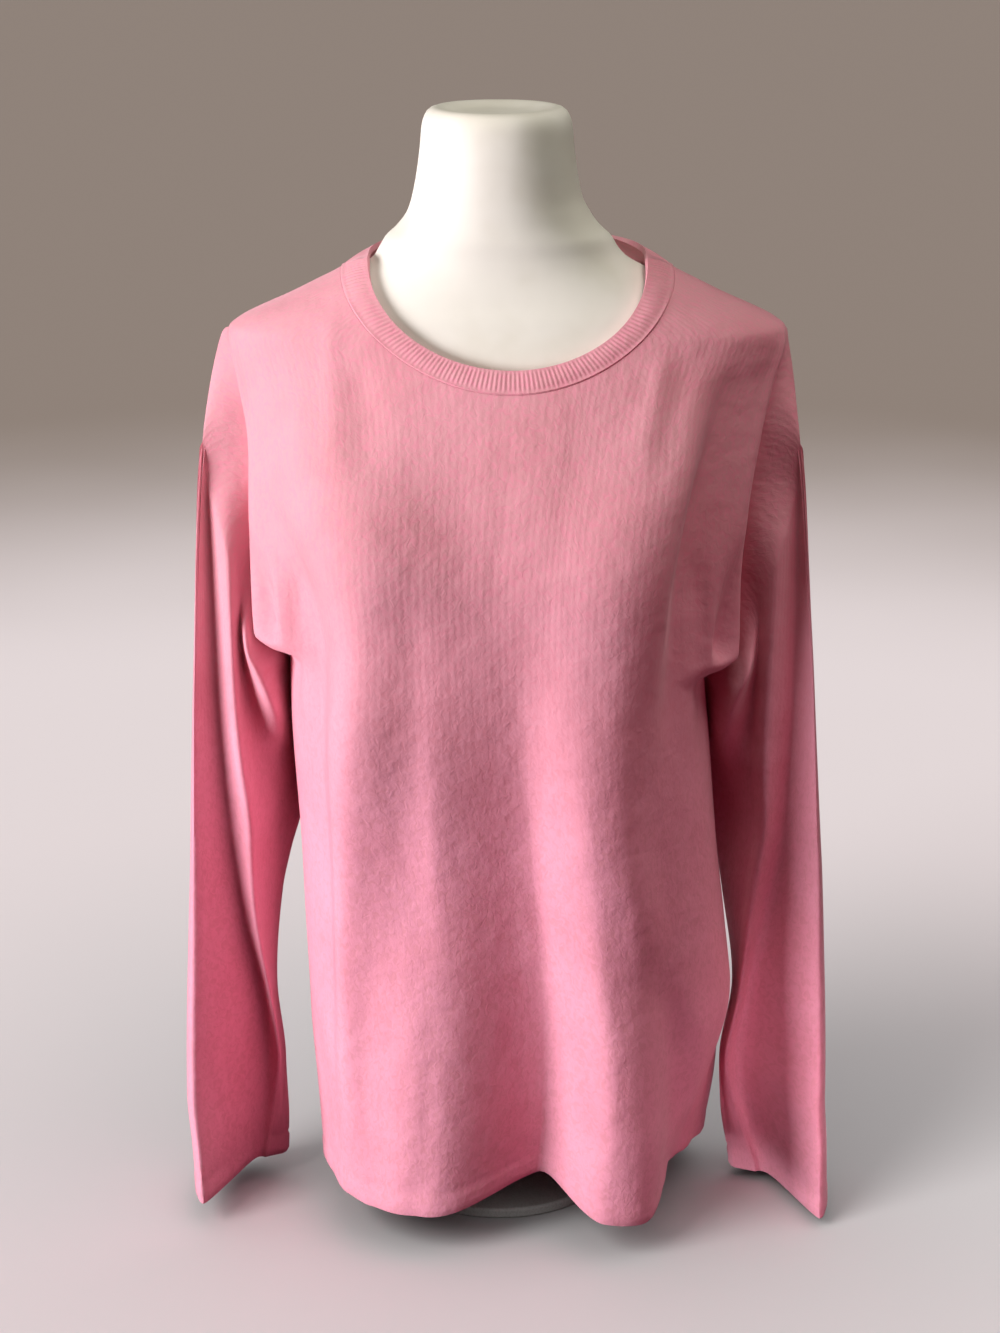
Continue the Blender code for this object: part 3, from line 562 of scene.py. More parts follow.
def body_point(place, height, front):
    """A point of the body's outer face, on the front or on the back."""
    place, height = np.broadcast_arrays(place, height)
    side, facing = np.sin(place * math.pi / 2.0), np.cos(place * math.pi / 2.0)
    hand = np.where(side < 0.0, -1.0, 1.0)
    way = -1.0 if front else 1.0
    panel = 0 if front else 1
    half, depth = column(BODY, 2, height), column(BODY, 3 + panel, height)
    square = FRONT_SQUARE if front else BACK_SQUARE
    curve = ring_curve(side, square)
    to_side = 1.0 - np.abs(np.abs(np.mod(place + 2.0, 4.0) - 2.0) - 1.0)
    roll = smooth((to_side - ROLL_FROM) / (ROLL_FULL - ROLL_FROM))
    lift = column(ROLL, 3 + panel, height)
    x = column(BODY, 1, height) + half * side + hand * column(ROLL, 1 + panel, height) * roll
    y = way * (depth * curve + lift * roll)

    push = fold_push(place, height)
    outward = unit(np.stack([side / half, -facing / depth], axis=-1))
    x, y = x + outward[..., 0] * push, y + outward[..., 1] * push
    if front:
        over = (np.abs(x - column(BODY, 1, height)) - BUST_OUT) ** 2 + (height - BUST_HEIGHT) ** 2
        y = y - BUST_PUSH * np.exp(-over / BUST_RADIUS**2)

    to_seam = smooth((to_side - SEAM_FROM) / (1.0 - SEAM_FROM))
    x = x - hand * column(ARMHOLE, 1 + panel, height) * to_seam
    y = y + way * (column(ARMHOLE, 3 + panel, height) - lift) * to_seam
    return np.stack([x, y, height], axis=-1)


def hem_height(place):
    return BODY_HEM - HEM_RISE * fold_push(place, BODY_HEM)


def neck_loop(turn, half_width, level, drop_front, drop_back, power):
    """Side and height of a loop round the neck, at turns from centre front."""
    facing = np.cos(turn)
    drop = np.where(facing > 0.0, drop_front, drop_back)
    x = NECK_CENTRE + NECK_LEAN * np.maximum(facing, 0.0) + half_width * np.sin(turn)
    return x, level - drop * np.abs(facing) ** power


def neck_seam(turn):
    return neck_loop(
        turn, NECK_HALF_WIDTH, NECK_LEVEL, NECK_DROP_FRONT, NECK_DROP_BACK, NECK_POWER
    )


def front_place(x, height):
    """The place on the front of the body, in quarter turns, that lies at this side and height."""
    side = np.clip((x - column(BODY, 1, height)) / column(BODY, 2, height), -1.0, 1.0)
    return np.arcsin(side) * 2.0 / math.pi


def neck_turn(place, front):
    """The turn at which the neckline seam crosses each place on the body."""
    middle = 0.0 if front else math.pi
    turns = middle + np.linspace(-math.pi / 2.0, math.pi / 2.0, NECK_SAMPLES)
    crossed = front_place(*neck_seam(turns))
    return np.interp(place, crossed if front else 2.0 - crossed, turns)


def side_rows():
    """Heights of the body's rows at its sides: skirt, armhole and shoulder."""
    skirt = np.linspace(BODY_HEM, UNDERARM, SKIRT_ROWS + 1)
    fine = np.linspace(UNDERARM, SHOULDER_TIP, SIDE_SAMPLES)
    run = running(np.linalg.norm(np.diff(body_point(1.0, fine, True), axis=0), axis=1))
    share = np.linspace(0.0, 1.0, ARMHOLE_STEPS * FINE + 1) ** ARMHOLE_CROWDING
    armhole = np.interp(share * run[-1], run, fine)
    shoulder = np.linspace(SHOULDER_TIP, NECK_LEVEL, SHOULDER_ROWS + 1)
    return np.concatenate([skirt, armhole[1:], shoulder[1:]])


def panel_places(columns, front):
    """Places across a panel, closer together towards its sides."""
    even = np.linspace(-1.0, 1.0, columns + 1)
    places = even + COLUMN_CROWDING * np.sin(math.pi * even) / math.pi
    return places if front else places + 2.0


def body_grid(columns, front):
    """A panel's points. Its rows close up over the chest, so that the last one is the neckline."""
    places, rows = panel_places(columns, front), side_rows()
    hem = hem_height(places)
    top = neck_seam(neck_turn(places, front))[1]
    skirt = (rows - BODY_HEM) / (UNDERARM - BODY_HEM)
    chest = (rows - UNDERARM) / (NECK_LEVEL - UNDERARM)
    heights = np.where(
        rows[:, None] < UNDERARM,
        hem + (UNDERARM - hem) * skirt[:, None],
        UNDERARM + (top - UNDERARM) * chest[:, None],
    )
    return body_point(places[None, :], heights, front)


# Sleeves and neckband


def sleeve_point(place, height, hand):
    """Out and back of a sleeve's closed section, at a place counted in columns."""
    place, height = np.broadcast_arrays(place, height)
    stations = np.array(list(SLEEVE_LINES))
    outs = np.stack([column(line, 1, height) for line in SLEEVE_LINES.values()])
    backs = np.stack([column(line, 2, height) for line in SLEEVE_LINES.values()])
    out = closed_curve(stations, STATIONS, outs, place)
    inner, outer = column(SLEEVE_SHIFT, 1, height), column(SLEEVE_SHIFT, 2, height)
    shift = inner + (outer - inner) * smooth((out - INNER_TO) / (OUTER_FROM - INNER_TO))
    return out + hand * shift, closed_curve(stations, STATIONS, backs, place)


def sleeve_grid(armhole, cuff, hand):
    """A sleeve's points, from the cuff up to the armhole's own points."""
    head_out, head_back, head = hand * armhole[:, 0], armhole[:, 1], armhole[:, 2]
    place = np.arange(len(armhole)) / FINE
    down = np.linspace(1.0, 0.0, SLEEVE_ROWS + 1)[:, None] ** SLEEVE_CROWDING * (head - cuff)
    out, back = sleeve_point(place[None, :], head - down, hand)
    loop_out, loop_back = sleeve_point(place, head, hand)
    from_tip = np.abs(place - STATIONS / 2.0) / (STATIONS / 4.0)
    round_off = SHOULDER_ROUND + (SLEEVE_ROUND - SHOULDER_ROUND) * smooth(from_tip)
    near = np.clip(1.0 - down / round_off, 0.0, 1.0)
    pull = 1.0 - np.sqrt(1.0 - near**2)
    x = hand * (out + (head_out - loop_out) * pull)
    y = back + (head_back - loop_back) * pull
    grid = np.stack([x, y, head - down], axis=-1)
    grid[-1] = armhole
    return grid if hand > 0 else grid[:, ::-1]


def band_grid(seam, turns):
    """The rib band's points, from the neckline seam up to its inner edge."""
    facing = np.cos(turns)
    x, height = neck_loop(
        turns, BAND_HALF_WIDTH, BAND_LEVEL, BAND_DROP_FRONT, BAND_DROP_BACK, BAND_POWER
    )
    side = (x - column(BODY, 1, height)) / column(BODY, 2, height)
    front = -column(BODY, 3, height) * ring_curve(side, FRONT_SQUARE)
    back = BAND_BACK * np.abs(facing) ** BAND_BACK_POWER
    inner = np.stack([x, np.where(facing > 0.0, front, back), height], axis=-1)
    share = np.linspace(0.0, 1.0, BAND_ROWS + 1)[:, None, None]
    flat = seam + (inner - seam) * share
    along = np.roll(seam, -1, axis=0) - np.roll(seam, 1, axis=0)
    swell = unit(np.cross(along, inner - seam)) * BAND_SWELL * np.sin(math.pi * share)
    return flat + swell


def settle(points):
    """Lowers the right underarm and raises the left one, and the cloth round them with it."""
    x, height = points[..., 0], points[..., 2]
    side = np.sin(np.clip(x / SETTLE_SPAN, -1.0, 1.0) * math.pi / 2.0)
    below = smooth((height - SETTLE_FROM) / (UNDERARM - SETTLE_FROM))
    above = smooth((SETTLE_TO - height) / (SETTLE_TO - SETTLE_HIGH))
    points[..., 2] = height - UNDERARM_DROP * side * (below * above)


# Small folds and finish of the knit's surface, laid on the grids along their normals


def small_folds(points):
    """How far the small folds push the front's face out."""
    x, height = points[..., 0], points[..., 2]
    total = np.zeros(x.shape)
    for _, foot_x, foot_z, head_x, head_z, width, taper, push in SMALL_FOLDS:
        along_x, along_z = head_x - foot_x, head_z - foot_z
        length = math.hypot(along_x, along_z)
        share = ((x - foot_x) * along_x + (height - foot_z) * along_z) / length**2
        off = ((x - foot_x) * along_z - (height - foot_z) * along_x) / length
        inside = np.clip(share, 0.0, 1.0)
        ends = smooth((taper + share) / taper) * smooth((1.0 + taper - share) / taper)
        width = width * (FOLD_NARROW + FOLD_WIDENING * (1.0 - inside))
        total = total + push * ends * np.exp(-((off / width) ** 2))
    return total


def hem_relief(from_edge):
    """A turned hem stands out a little, dips at its line of stitches and rounds in at its edge."""
    turned = HEM_SWELL * smooth((HEM_LINE - from_edge) / HEM_FADE)
    dip = HEM_DIP * np.exp(-(((from_edge - HEM_LINE) / DIP_SPREAD) ** 2))
    edge = HEM_ROUND * np.clip(1.0 - from_edge / ROUND_SPREAD, 0.0, 1.0) ** 2
    return turned - dip - edge


def normals_of(points, closed=False):
    across = np.gradient(points, axis=1)
    if closed:
        across[:, 0] = across[:, -1] = points[:, 1] - points[:, -2]
    return unit(np.cross(across, np.gradient(points, axis=0)))


def flat_cut(points):
    """Where each point of a grid lies in the flat cut, in metres: across by columns, up by rows."""
    steps = np.median(np.linalg.norm(np.diff(points, axis=1), axis=-1), axis=0)
    across = running(steps)
    rises = np.linalg.norm(np.diff(points, axis=0), axis=-1)
    up = np.concatenate([np.zeros((1, points.shape[1])), np.cumsum(rises, axis=0)])
    return np.stack([np.broadcast_to(across, up.shape), up], axis=-1)


def knit_piece(name, points, relief, cut, wall, closed=False):
    """A knitted wall: a grid mapped on to points and thickened inwards, its outer face then raised
    along its normals by relief, with its flat cut as its UV map."""
    rows, columns = points.shape[:2]
    cloth = bmesh.new()
    uv = cloth.loops.layers.uv.new("cut")
    raised = cloth.verts.layers.float_vector.new("raised")
    bmesh.ops.create_grid(cloth, x_segments=columns - 1, y_segments=rows - 1, size=0.5)
    places, flat = points.reshape(-1, 3), cut.reshape(-1, 2)
    lifts = (normals_of(points, closed) * relief[..., None]).reshape(-1, 3)
    for face in cloth.faces:
        for loop in face.loops:
            loop[uv].uv = flat[loop.vert.index]
    for vertex in cloth.verts:
        vertex.co = places[vertex.index]
        vertex[raised] = lifts[vertex.index]
    if closed:
        bmesh.ops.remove_doubles(cloth, verts=cloth.verts, dist=1e-6)
    outer = len(cloth.verts)
    mesh = bpy.data.meshes.new(name)
    cloth.to_mesh(mesh)
    cloth.free()
    piece = bpy.data.objects.new(name, mesh)
    bpy.context.scene.collection.objects.link(piece)
    shell = piece.modifiers.new("wall", "SOLIDIFY")
    shell.thickness = wall
    shell.offset = -1.0
    bpy.context.view_layer.update()
    piece.data = bpy.data.meshes.new_from_object(
        piece.evaluated_get(bpy.context.evaluated_depsgraph_get())
    )
    piece.modifiers.clear()
    bpy.data.meshes.remove(mesh)
    piece.data.name = name
    lift = piece.data.attributes["raised"]
    for vertex in piece.data.vertices[:outer]:
        vertex.co += lift.data[vertex.index].vector
    piece.data.attributes.remove(lift)
    piece.data.shade_smooth()
    piece.data.set_sharp_from_angle(angle=math.radians(KNIT_CREASE))
    return piece


def to_room(points):
    """From the garment's axis to the part's own place."""
    return points + np.array([0.0, GARMENT_BACK, 0.0])


def body_points(front):
    """The outer face of the front or the back, its relief and its flat cut."""
    points = body_grid(FRONT_COLUMNS if front else BACK_COLUMNS, front)
    if not front:
        seam = body_grid(FRONT_COLUMNS, True)
        sewn = np.r_[0 : SKIRT_ROWS + 1, TIP_ROW : len(points)]
        points[sewn, 0], points[sewn, -1] = seam[sewn, -1], seam[sewn, 0]
    settle(points)
    cut = flat_cut(points)
    if front:
        from_side = np.minimum(cut[..., 0], cut[..., 0].max() - cut[..., 0])
        push = small_folds(points) * smooth(from_side / FOLD_CLEARANCE)
        points = points + normals_of(points) * push[..., None]
    return to_room(points), hem_relief(cut[..., 1]), cut


def sleeve_points(hand):
    """The outer face of a sleeve with its seam column doubled, its relief and its flat cut."""
    front, back = body_grid(FRONT_COLUMNS, True), body_grid(BACK_COLUMNS, False)
    front_edge, back_edge = (-1, 0) if hand > 0 else (0, -1)
    up = front[SKIRT_ROWS : TIP_ROW + 1, front_edge]
    down = back[SKIRT_ROWS + 1 : TIP_ROW, back_edge][::-1]
    cuff = CUFF_RIGHT if hand > 0 else CUFF_LEFT
    points = sleeve_grid(np.concatenate([up, down]), cuff, hand)
    points = np.concatenate([points, points[:, :1]], axis=1)
    settle(points)
    cut = flat_cut(points)
    return to_room(points), hem_relief(cut[..., 1]), cut


def band_points():
    """The neckband's outer face, its ribs, linked seam and bound edge, and its flat cut."""
    turns = np.linspace(-math.pi, math.pi, BAND_SAMPLES)
    x, height = neck_seam(turns)
    place = front_place(x, height)
    face = np.where(
        (np.cos(turns) > 0.0)[:, None],
        body_point(place, height, True),
        body_point(2.0 - place, height, False),
    )
    run = running(np.linalg.norm(np.diff(face, axis=0), axis=1))
    ribs = round(run[-1] / RIB_PITCH)
    even = np.linspace(0.0, run[-1], ribs * RIB_STEPS + 1)
    seam = np.stack([np.interp(even, run, face[:, k]) for k in range(3)], axis=-1)
    turn = np.interp(even, run, turns)
    points = band_grid(seam, turn)
    cut = flat_cut(points)
    share = np.linspace(0.0, 1.0, BAND_ROWS + 1)[:, None]
    rib = np.cos(2.0 * math.pi * ribs * even / run[-1])
    rib = RIB_DEPTH * np.sign(rib) * np.abs(rib) ** RIB_POWER
    between = smooth((share - RIBS_FROM) / RIBS_FADE) * smooth((RIBS_TO - share) / RIBS_FADE)
    linked = LINK_HEIGHT * np.exp(-(((share - LINK_PLACE) / LINK_SPREAD) ** 2))
    bound = BOUND_HEIGHT * np.exp(-(((share - BOUND_PLACE) / BOUND_SPREAD) ** 2))
    groove = LINK_GROOVE * np.clip(1.0 - share / GROOVE_SPREAD, 0.0, 1.0)
    return to_room(points), between * rib + linked + bound - groove, cut


def form_piece():
    """The dress form: rings stacked from the hip to the hollow of the neck cap, closed at both."""
    rows = np.array(FORM)
    run = running(np.hypot(np.diff(rows[:, 0]), np.diff(rows[:, 2])))
    table = [(at, *row) for at, row in zip(run, FORM)]
    along = np.linspace(0.0, run[-1], FORM_ROWS + 1)[:, None]
    height, shift, half, front, back = (column(table, k, along) for k in range(1, 6))
    turn = np.linspace(0.0, 2.0 * math.pi, FORM_SIDES + 1)
    side, facing = np.sin(turn), np.cos(turn)
    depth = np.where(facing > 0.0, -front, back) * ring_curve(side, FORM_SQUARE)
    places = np.stack(np.broadcast_arrays(shift + half * side, depth, height), axis=-1)
    places = to_room(places).reshape(-1, 3)
    shell = bmesh.new()
    bmesh.ops.create_grid(shell, x_segments=FORM_SIDES, y_segments=FORM_ROWS, size=0.5)
    for vertex in shell.verts:
        vertex.co = places[vertex.index]
    bmesh.ops.remove_doubles(shell, verts=shell.verts, dist=1e-6)
    bmesh.ops.holes_fill(shell, edges=shell.edges, sides=0)
    bmesh.ops.recalc_face_normals(shell, faces=shell.faces)
    mesh = bpy.data.meshes.new("shell_of_form")
    shell.to_mesh(mesh)
    shell.free()
    mesh.shade_smooth()
    mesh.set_sharp_from_angle(angle=math.radians(FORM_CREASE))
    piece = bpy.data.objects.new("shell_of_form", mesh)
    bpy.context.scene.collection.objects.link(piece)
    return piece


# Materials


def shade(hex_colour):
    """A linear colour from an sRGB hex value."""
    value = [int(hex_colour[k : k + 2], 16) / 255.0 for k in (1, 3, 5)]
    linear = [c / 12.92 if c <= 0.04045 else ((c + 0.055) / 1.055) ** 2.4 for c in value]
    return (*linear, 1.0)


def put(material, kind, settings=None, links=None):
    """Adds a node with its settings, and links its inputs to other nodes' outputs."""
    tree = material.node_tree
    node = tree.nodes.new("ShaderNode" + kind)
    for key, value in (settings or {}).items():
        if isinstance(key, int) or key in node.inputs:
            node.inputs[key].default_value = value
        else:
            setattr(node, key, value)
    for key, source in (links or {}).items():
        tree.links.new(source, node.inputs[key])
    return node


def new_material(name, roughness):
    material = bpy.data.materials.new(name)
    material.use_nodes = True
    shader = material.node_tree.nodes["Principled BSDF"]
    shader.inputs["Roughness"].default_value = roughness
    return material, shader


def opaque(colour):
    return tuple(colour) + (1.0,)


def object_spot(material):
    return put(material, "TexCoord").outputs["Object"]


def noise(material, spot, scale, detail, **more):
    settings = {**more, "Scale": scale, "Detail": detail}
    return put(material, "TexNoise", settings, {"Vector": spot}).outputs["Fac"]


def ramp(material, source, start, end, low=0.0, high=1.0):
    """A smooth change from low to high while the source goes from start to end."""
    settings = {"interpolation_type": "SMOOTHSTEP", 1: start, 2: end, 3: low, 4: high}
    return put(material, "MapRange", settings, {0: source}).outputs[0]


def blend(material, share, first, second, how="MIX"):
    """A colour between two others, each a fixed colour or another node's output."""
    ends = {6: first, 7: second}
    fixed = {key: end for key, end in ends.items() if isinstance(end, tuple)}
    linked = {key: end for key, end in ends.items() if key not in fixed}
    settings = {"data_type": "RGBA", "blend_type": how, **fixed}
    return put(material, "Mix", settings, {0: share, **linked}).outputs[2]


def bump(material, height, distance, strength=1.0, under=None):
    """Relief of a height field, on top of the relief under it."""
    links = {"Height": height} if under is None else {"Height": height, "Normal": under}
    settings = {"Strength": strength, "Distance": distance}
    return put(material, "Bump", settings, links).outputs[0]


def surface(material, shader, colour, normal):
    material.node_tree.links.new(colour, shader.inputs["Base Color"])
    material.node_tree.links.new(normal, shader.inputs["Normal"])
    return material


def cashmere(name, knit, ribbed=False):
    """Fine cashmere jersey, spun soft and milled so that a nap of loose hair veils the stitches.

    The eye sees no shine but a pale bloom where the cloth turns away, faint wales running down
    the cut, and the small curls of the nap, a few millimetres long.
    """
    material, shader = new_material(name, 0.92)
    for socket, value in (
        ("Sheen Weight", knit.bloom),
        ("Sheen Roughness", 0.45),
        ("Sheen Tint", shade("#FFCDD6")),
        ("Specular IOR Level", 0.15),
    ):
        shader.inputs[socket].default_value = value
    cut = put(material, "UVMap", {"uv_map": "cut"}).outputs["UV"]
    spot = object_spot(material)
    along = put(material, "Mapping", {"Scale": CURL_STRETCH}, {"Vector": cut}).outputs[0]
    fine = {"noise_dimensions": "2D", "Roughness": 0.6, "Distortion": 0.9}
    curls = noise(material, along, 1.0 / knit.nap_size, 2.5, **fine)
    # Wales 1.7 mm apart are too fine to show, so they are drawn gathered three by three.
    down = put(material, "Mapping", {"Scale": WALE_STRETCH}, {"Vector": cut}).outputs[0]
    wales = put(
        material,
        "TexWave",
        {"bands_direction": "X", "wave_profile": "SIN", "Distortion": 1.4, "Detail": 1.5,
         "Detail Scale": 0.35, "Scale": math.pi * 2.0 / WAVE_RADIANS / knit.wale_pitch},
        {"Vector": down},
    ).outputs["Fac"]
    height = put(material, "SeparateXYZ", {}, {"Vector": spot}).outputs["Z"]
    # Painted light and shade by height: duller, darker yarn over the chest and shoulders, deeper pink
    # lower down
    painted_shade_share = ramp(material, height, *PAINTED_SHADE_HEIGHTS)
    yarn = blend(material, painted_shade_share, opaque(knit.main_colour), opaque(knit.shoulder_shade_colour))
    tint = blend(material, ramp(material, curls, 0.30, 0.62), opaque(knit.shade_colour), yarn)
    drift = ramp(material, noise(material, spot, 16.0, 2.0), 0.35, 0.75, 0.0, 0.6)
    worn = blend(material, drift, tint, shade("#F6ECEC"), "MULTIPLY")
    nap = bump(material, curls, knit.nap_height)
    uneven = bump(material, noise(material, spot, 55.0, 3.0), UNEVEN_HEIGHT, under=nap)
    lined = put(
        material,
        "Bump",
        {"Distance": knit.wale_height * (RIBBED_WALES if ribbed else 1.0)},
        {"Strength": ramp(material, height, *WALES_CLEAR), "Height": wales, "Normal": uneven},
    ).outputs[0]
    return surface(material, shader, worn, lined)


def moulded_shell(name, colour):
    """Moulded polymer shell in matt white, rubbed smooth: pale, with a dull, even spread of light."""
    material, shader = new_material(name, 0.6)
    spot = object_spot(material)
    cloud, grain = noise(material, spot, 14.0, 3.0), noise(material, spot, 900.0, 2.0)
    tint = blend(material, ramp(material, cloud, 0.35, 0.6), shade("#E9E4D6"), opaque(colour))
    dents = bump(material, cloud, 0.0015, 0.6)
    return surface(material, shader, tint, bump(material, grain, 0.0001, 0.3, dents))


def powder_paint(name, colour):
    """Powder-coated steel in off-white: an even satin with a fine orange peel."""
    material, shader = new_material(name, 0.45)
    peel = noise(material, object_spot(material), 700.0, 1.0)
    tint = blend(material, ramp(material, peel, 0.3, 0.6), shade("#D9D2CD"), opaque(colour))
    return surface(material, shader, tint, bump(material, peel, 0.0001, 0.4))


def studio_paper(name, stage):
    """Seamless paper with its shade painted in: darker under the part, pale round it and dark far from
    it.
    """
    material, shader = new_material(name, 0.9)
    spot = object_spot(material)
    far = put(material, "VectorMath", {"operation": "LENGTH"}, {"Vector": spot}).outputs["Value"]
    cloud = noise(material, spot, 1.2, 2.0)
    uneven = put(material, "Math", {"operation": "MULTIPLY", 1: 0.4}, {0: cloud}).outputs[0]
    reach = put(material, "Math", {"operation": "ADD"}, {0: far, 1: uneven}).outputs[0]
    # Painted shade: the paper is darker under the part and darkens again far from it.
    near = ramp(material, reach, NEAR_FROM, stage.near_reach)
    pale = blend(material, near, opaque(stage.near_shade_colour), opaque(stage.floor_colour))
    dark = ramp(material, reach, stage.pale_reach, stage.dark_reach)
    tint = blend(material, dark, pale, opaque(stage.far_colour))
    material.node_tree.links.new(tint, shader.inputs["Base Color"])
    return material


def wear(piece, material):
    piece.data.materials.clear()
    piece.data.materials.append(material)


# Settings


def colour_setting(name, description, hex_colour):
    return FloatVectorProperty(
        name=name, description=description, default=shade(hex_colour)[:3],
        subtype="COLOR", min=0.0, max=1.0,
    )


def length_setting(name, description, metres, least=0.0):
    return FloatProperty(
        name=name, description=description, default=metres, min=least, unit="LENGTH"
    )


class KnitSettings(bpy.types.PropertyGroup):
    main_colour: colour_setting("Yarn", "Colour of the nap", "#EFA2B7")
    # Painted shade: the duller, darker yarn over the chest and shoulders
    shoulder_shade_colour: colour_setting("Shoulder yarn in painted shade", "Colour of the nap at the shoulders", "#DEA0A8")
    shade_colour: colour_setting("Yarn in shade", "Colour between the curls of the nap", "#E69BAA")
    bloom: FloatProperty(
        name="Bloom", description="How pale the nap looks where the cloth turns away",
        default=0.35, min=0.0, max=1.0, subtype="FACTOR",
    )
    nap_size: length_setting("Nap size", "Width of a curl of the nap", 0.0036, 0.001)
    nap_height: length_setting("Nap height", "How far the nap's curls stand up", 0.00022)
    wale_pitch: length_setting("Wale pitch", "Distance between the drawn wales", 0.0051, 0.001)
    wale_height: length_setting("Wale height", "How far the drawn wales stand up", 0.00008)


class FormSettings(bpy.types.PropertyGroup):
    shell_colour: colour_setting("Shell", "Colour of the moulded form", "#F3EFE4")
    paint_colour: colour_setting("Stand paint", "Colour of the pole and the base", "#E6E0DC")


class StageSettings(bpy.types.PropertyGroup):
    # Painted shade: the near and far colours darken the paper under the part and far from it.
    near_shade_colour: colour_setting("Near floor", "Paper under the part", "#D1CECE")
    floor_colour: colour_setting("Floor", "Paper round the part", "#EDE1E1")
    far_colour: colour_setting("Far floor", "Paper far behind the part", "#928379")
    room_colour: colour_setting("Room", "Wall beyond the paper", "#958880")
    near_reach: length_setting("Near reach", "Where the paper has turned palest", 1.1)
    pale_reach: length_setting("Pale reach", "How far from the part the paper stays pale", 1.5)
    dark_reach: length_setting("Dark reach", "Where the paper has fallen into shade", 3.0)
    wash_power: FloatProperty(name="Wash", description="Strength of the floor's light", default=4.6)
    camera_height: length_setting("Camera height", "Height of the lens", 1.085)
    camera_distance: length_setting(
        "Camera distance", "From the garment's axis to the lens, along the floor", 2.17
    )
    camera_pitch: FloatProperty(
        name="Camera pitch", description="How far the camera looks down",
        default=math.radians(17.0), subtype="ANGLE",
    )


for lamp, what, watts, tint in (
    ("key", "the low light at the left", 142.0, "#FFF8FC"),
    ("top", "the high light in front", 20.0, "#FFFCF6"),
    ("far_top", "the high light at the right", 20.0, "#FFFBEF"),
    ("rim", "the low light behind", 14.0, "#FFFFFF"),
    ("fill", "the weak light at the right", 4.5, "#FFFAF2"),
    ("blush", "the light thrown back on the knit", 10.5, "#FF88A8"),
    ("card", "the small card at the cuff", 0.055, "#FFD8E4"),
):
    title = lamp.replace("_", " ").capitalize()
    StageSettings.__annotations__[lamp + "_power"] = FloatProperty(
        name=title, description="Watts of " + what, default=watts
    )
    StageSettings.__annotations__[lamp + "_colour"] = colour_setting(
        title + " colour", "Tint of " + what, tint
    )


# Operators


def hang(name, lamp, turn, rise, lit):
    """Hangs a lamp so that it shines on one collection, and gives the way out to it as well."""
    turn, rise = math.radians(turn), math.radians(rise)
    away = Vector((math.sin(turn), -math.cos(turn), math.tan(rise))).normalized()
    light = bpy.data.objects.new(name, lamp)
    light.rotation_euler = away.to_track_quat("Z", "Y").to_euler()
    light.light_linking.receiver_collection = lit
    bpy.context.scene.collection.objects.link(light)
    return light, away


class SWEATER_OT_body(bpy.types.Operator):
    """Knit the front and the back"""

    bl_idname = "sweater.body"
    bl_label = "Body"

    def execute(self, context):
        knit = context.scene.sweater_knit
        for node, flat, area in BODY_CUTS:
            piece = knit_piece("knit_" + node[5:], *body_points(node == "body_front"), WALL)
            wear(piece, cashmere(node[5:] + "_milled_cashmere_jersey", knit))
            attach(piece, ROOT)
            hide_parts(node)
        return {"FINISHED"}


class SWEATER_OT_sleeves(bpy.types.Operator):
    """Knit the two sleeves"""

    bl_idname = "sweater.sleeves"
    bl_label = "Sleeves"

    def execute(self, context):
        knit = context.scene.sweater_knit
        for side, hand in (("left", -1), ("right", 1)):
            piece = knit_piece("knit_sleeve_" + side, *sleeve_points(hand), WALL, closed=True)
            wear(piece, cashmere(side + "_sleeve_milled_cashmere_jersey", knit))
            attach(piece, ROOT)
            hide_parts("sleeve_" + side)
        return {"FINISHED"}


class SWEATER_OT_neckband(bpy.types.Operator):
    """Knit the ribbed neckband"""

    bl_idname = "sweater.neckband"
    bl_label = "Neckband"

    def execute(self, context):
        piece = knit_piece("knit_neckband", *band_points(), BAND_WALL, closed=True)
        wear(piece, cashmere("cashmere_rib", context.scene.sweater_knit, ribbed=True))
        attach(piece, ROOT)
        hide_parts("neckband")
        return {"FINISHED"}


class SWEATER_OT_form(bpy.types.Operator):
    """Finish the dress form and its stand"""

    bl_idname = "sweater.form"
    bl_label = "Form and stand"

    def execute(self, context):
        colours = context.scene.sweater_form
        piece = form_piece()
        wear(piece, moulded_shell("moulded_polymer_shell", colours.shell_colour))
        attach(piece, ROOT)
        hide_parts("form")
        for node in ("pole", "base"):
            wear(frame["nodes"][node], powder_paint(node + "_powder_coated_steel", colours.paint_colour))
        return {"FINISHED"}


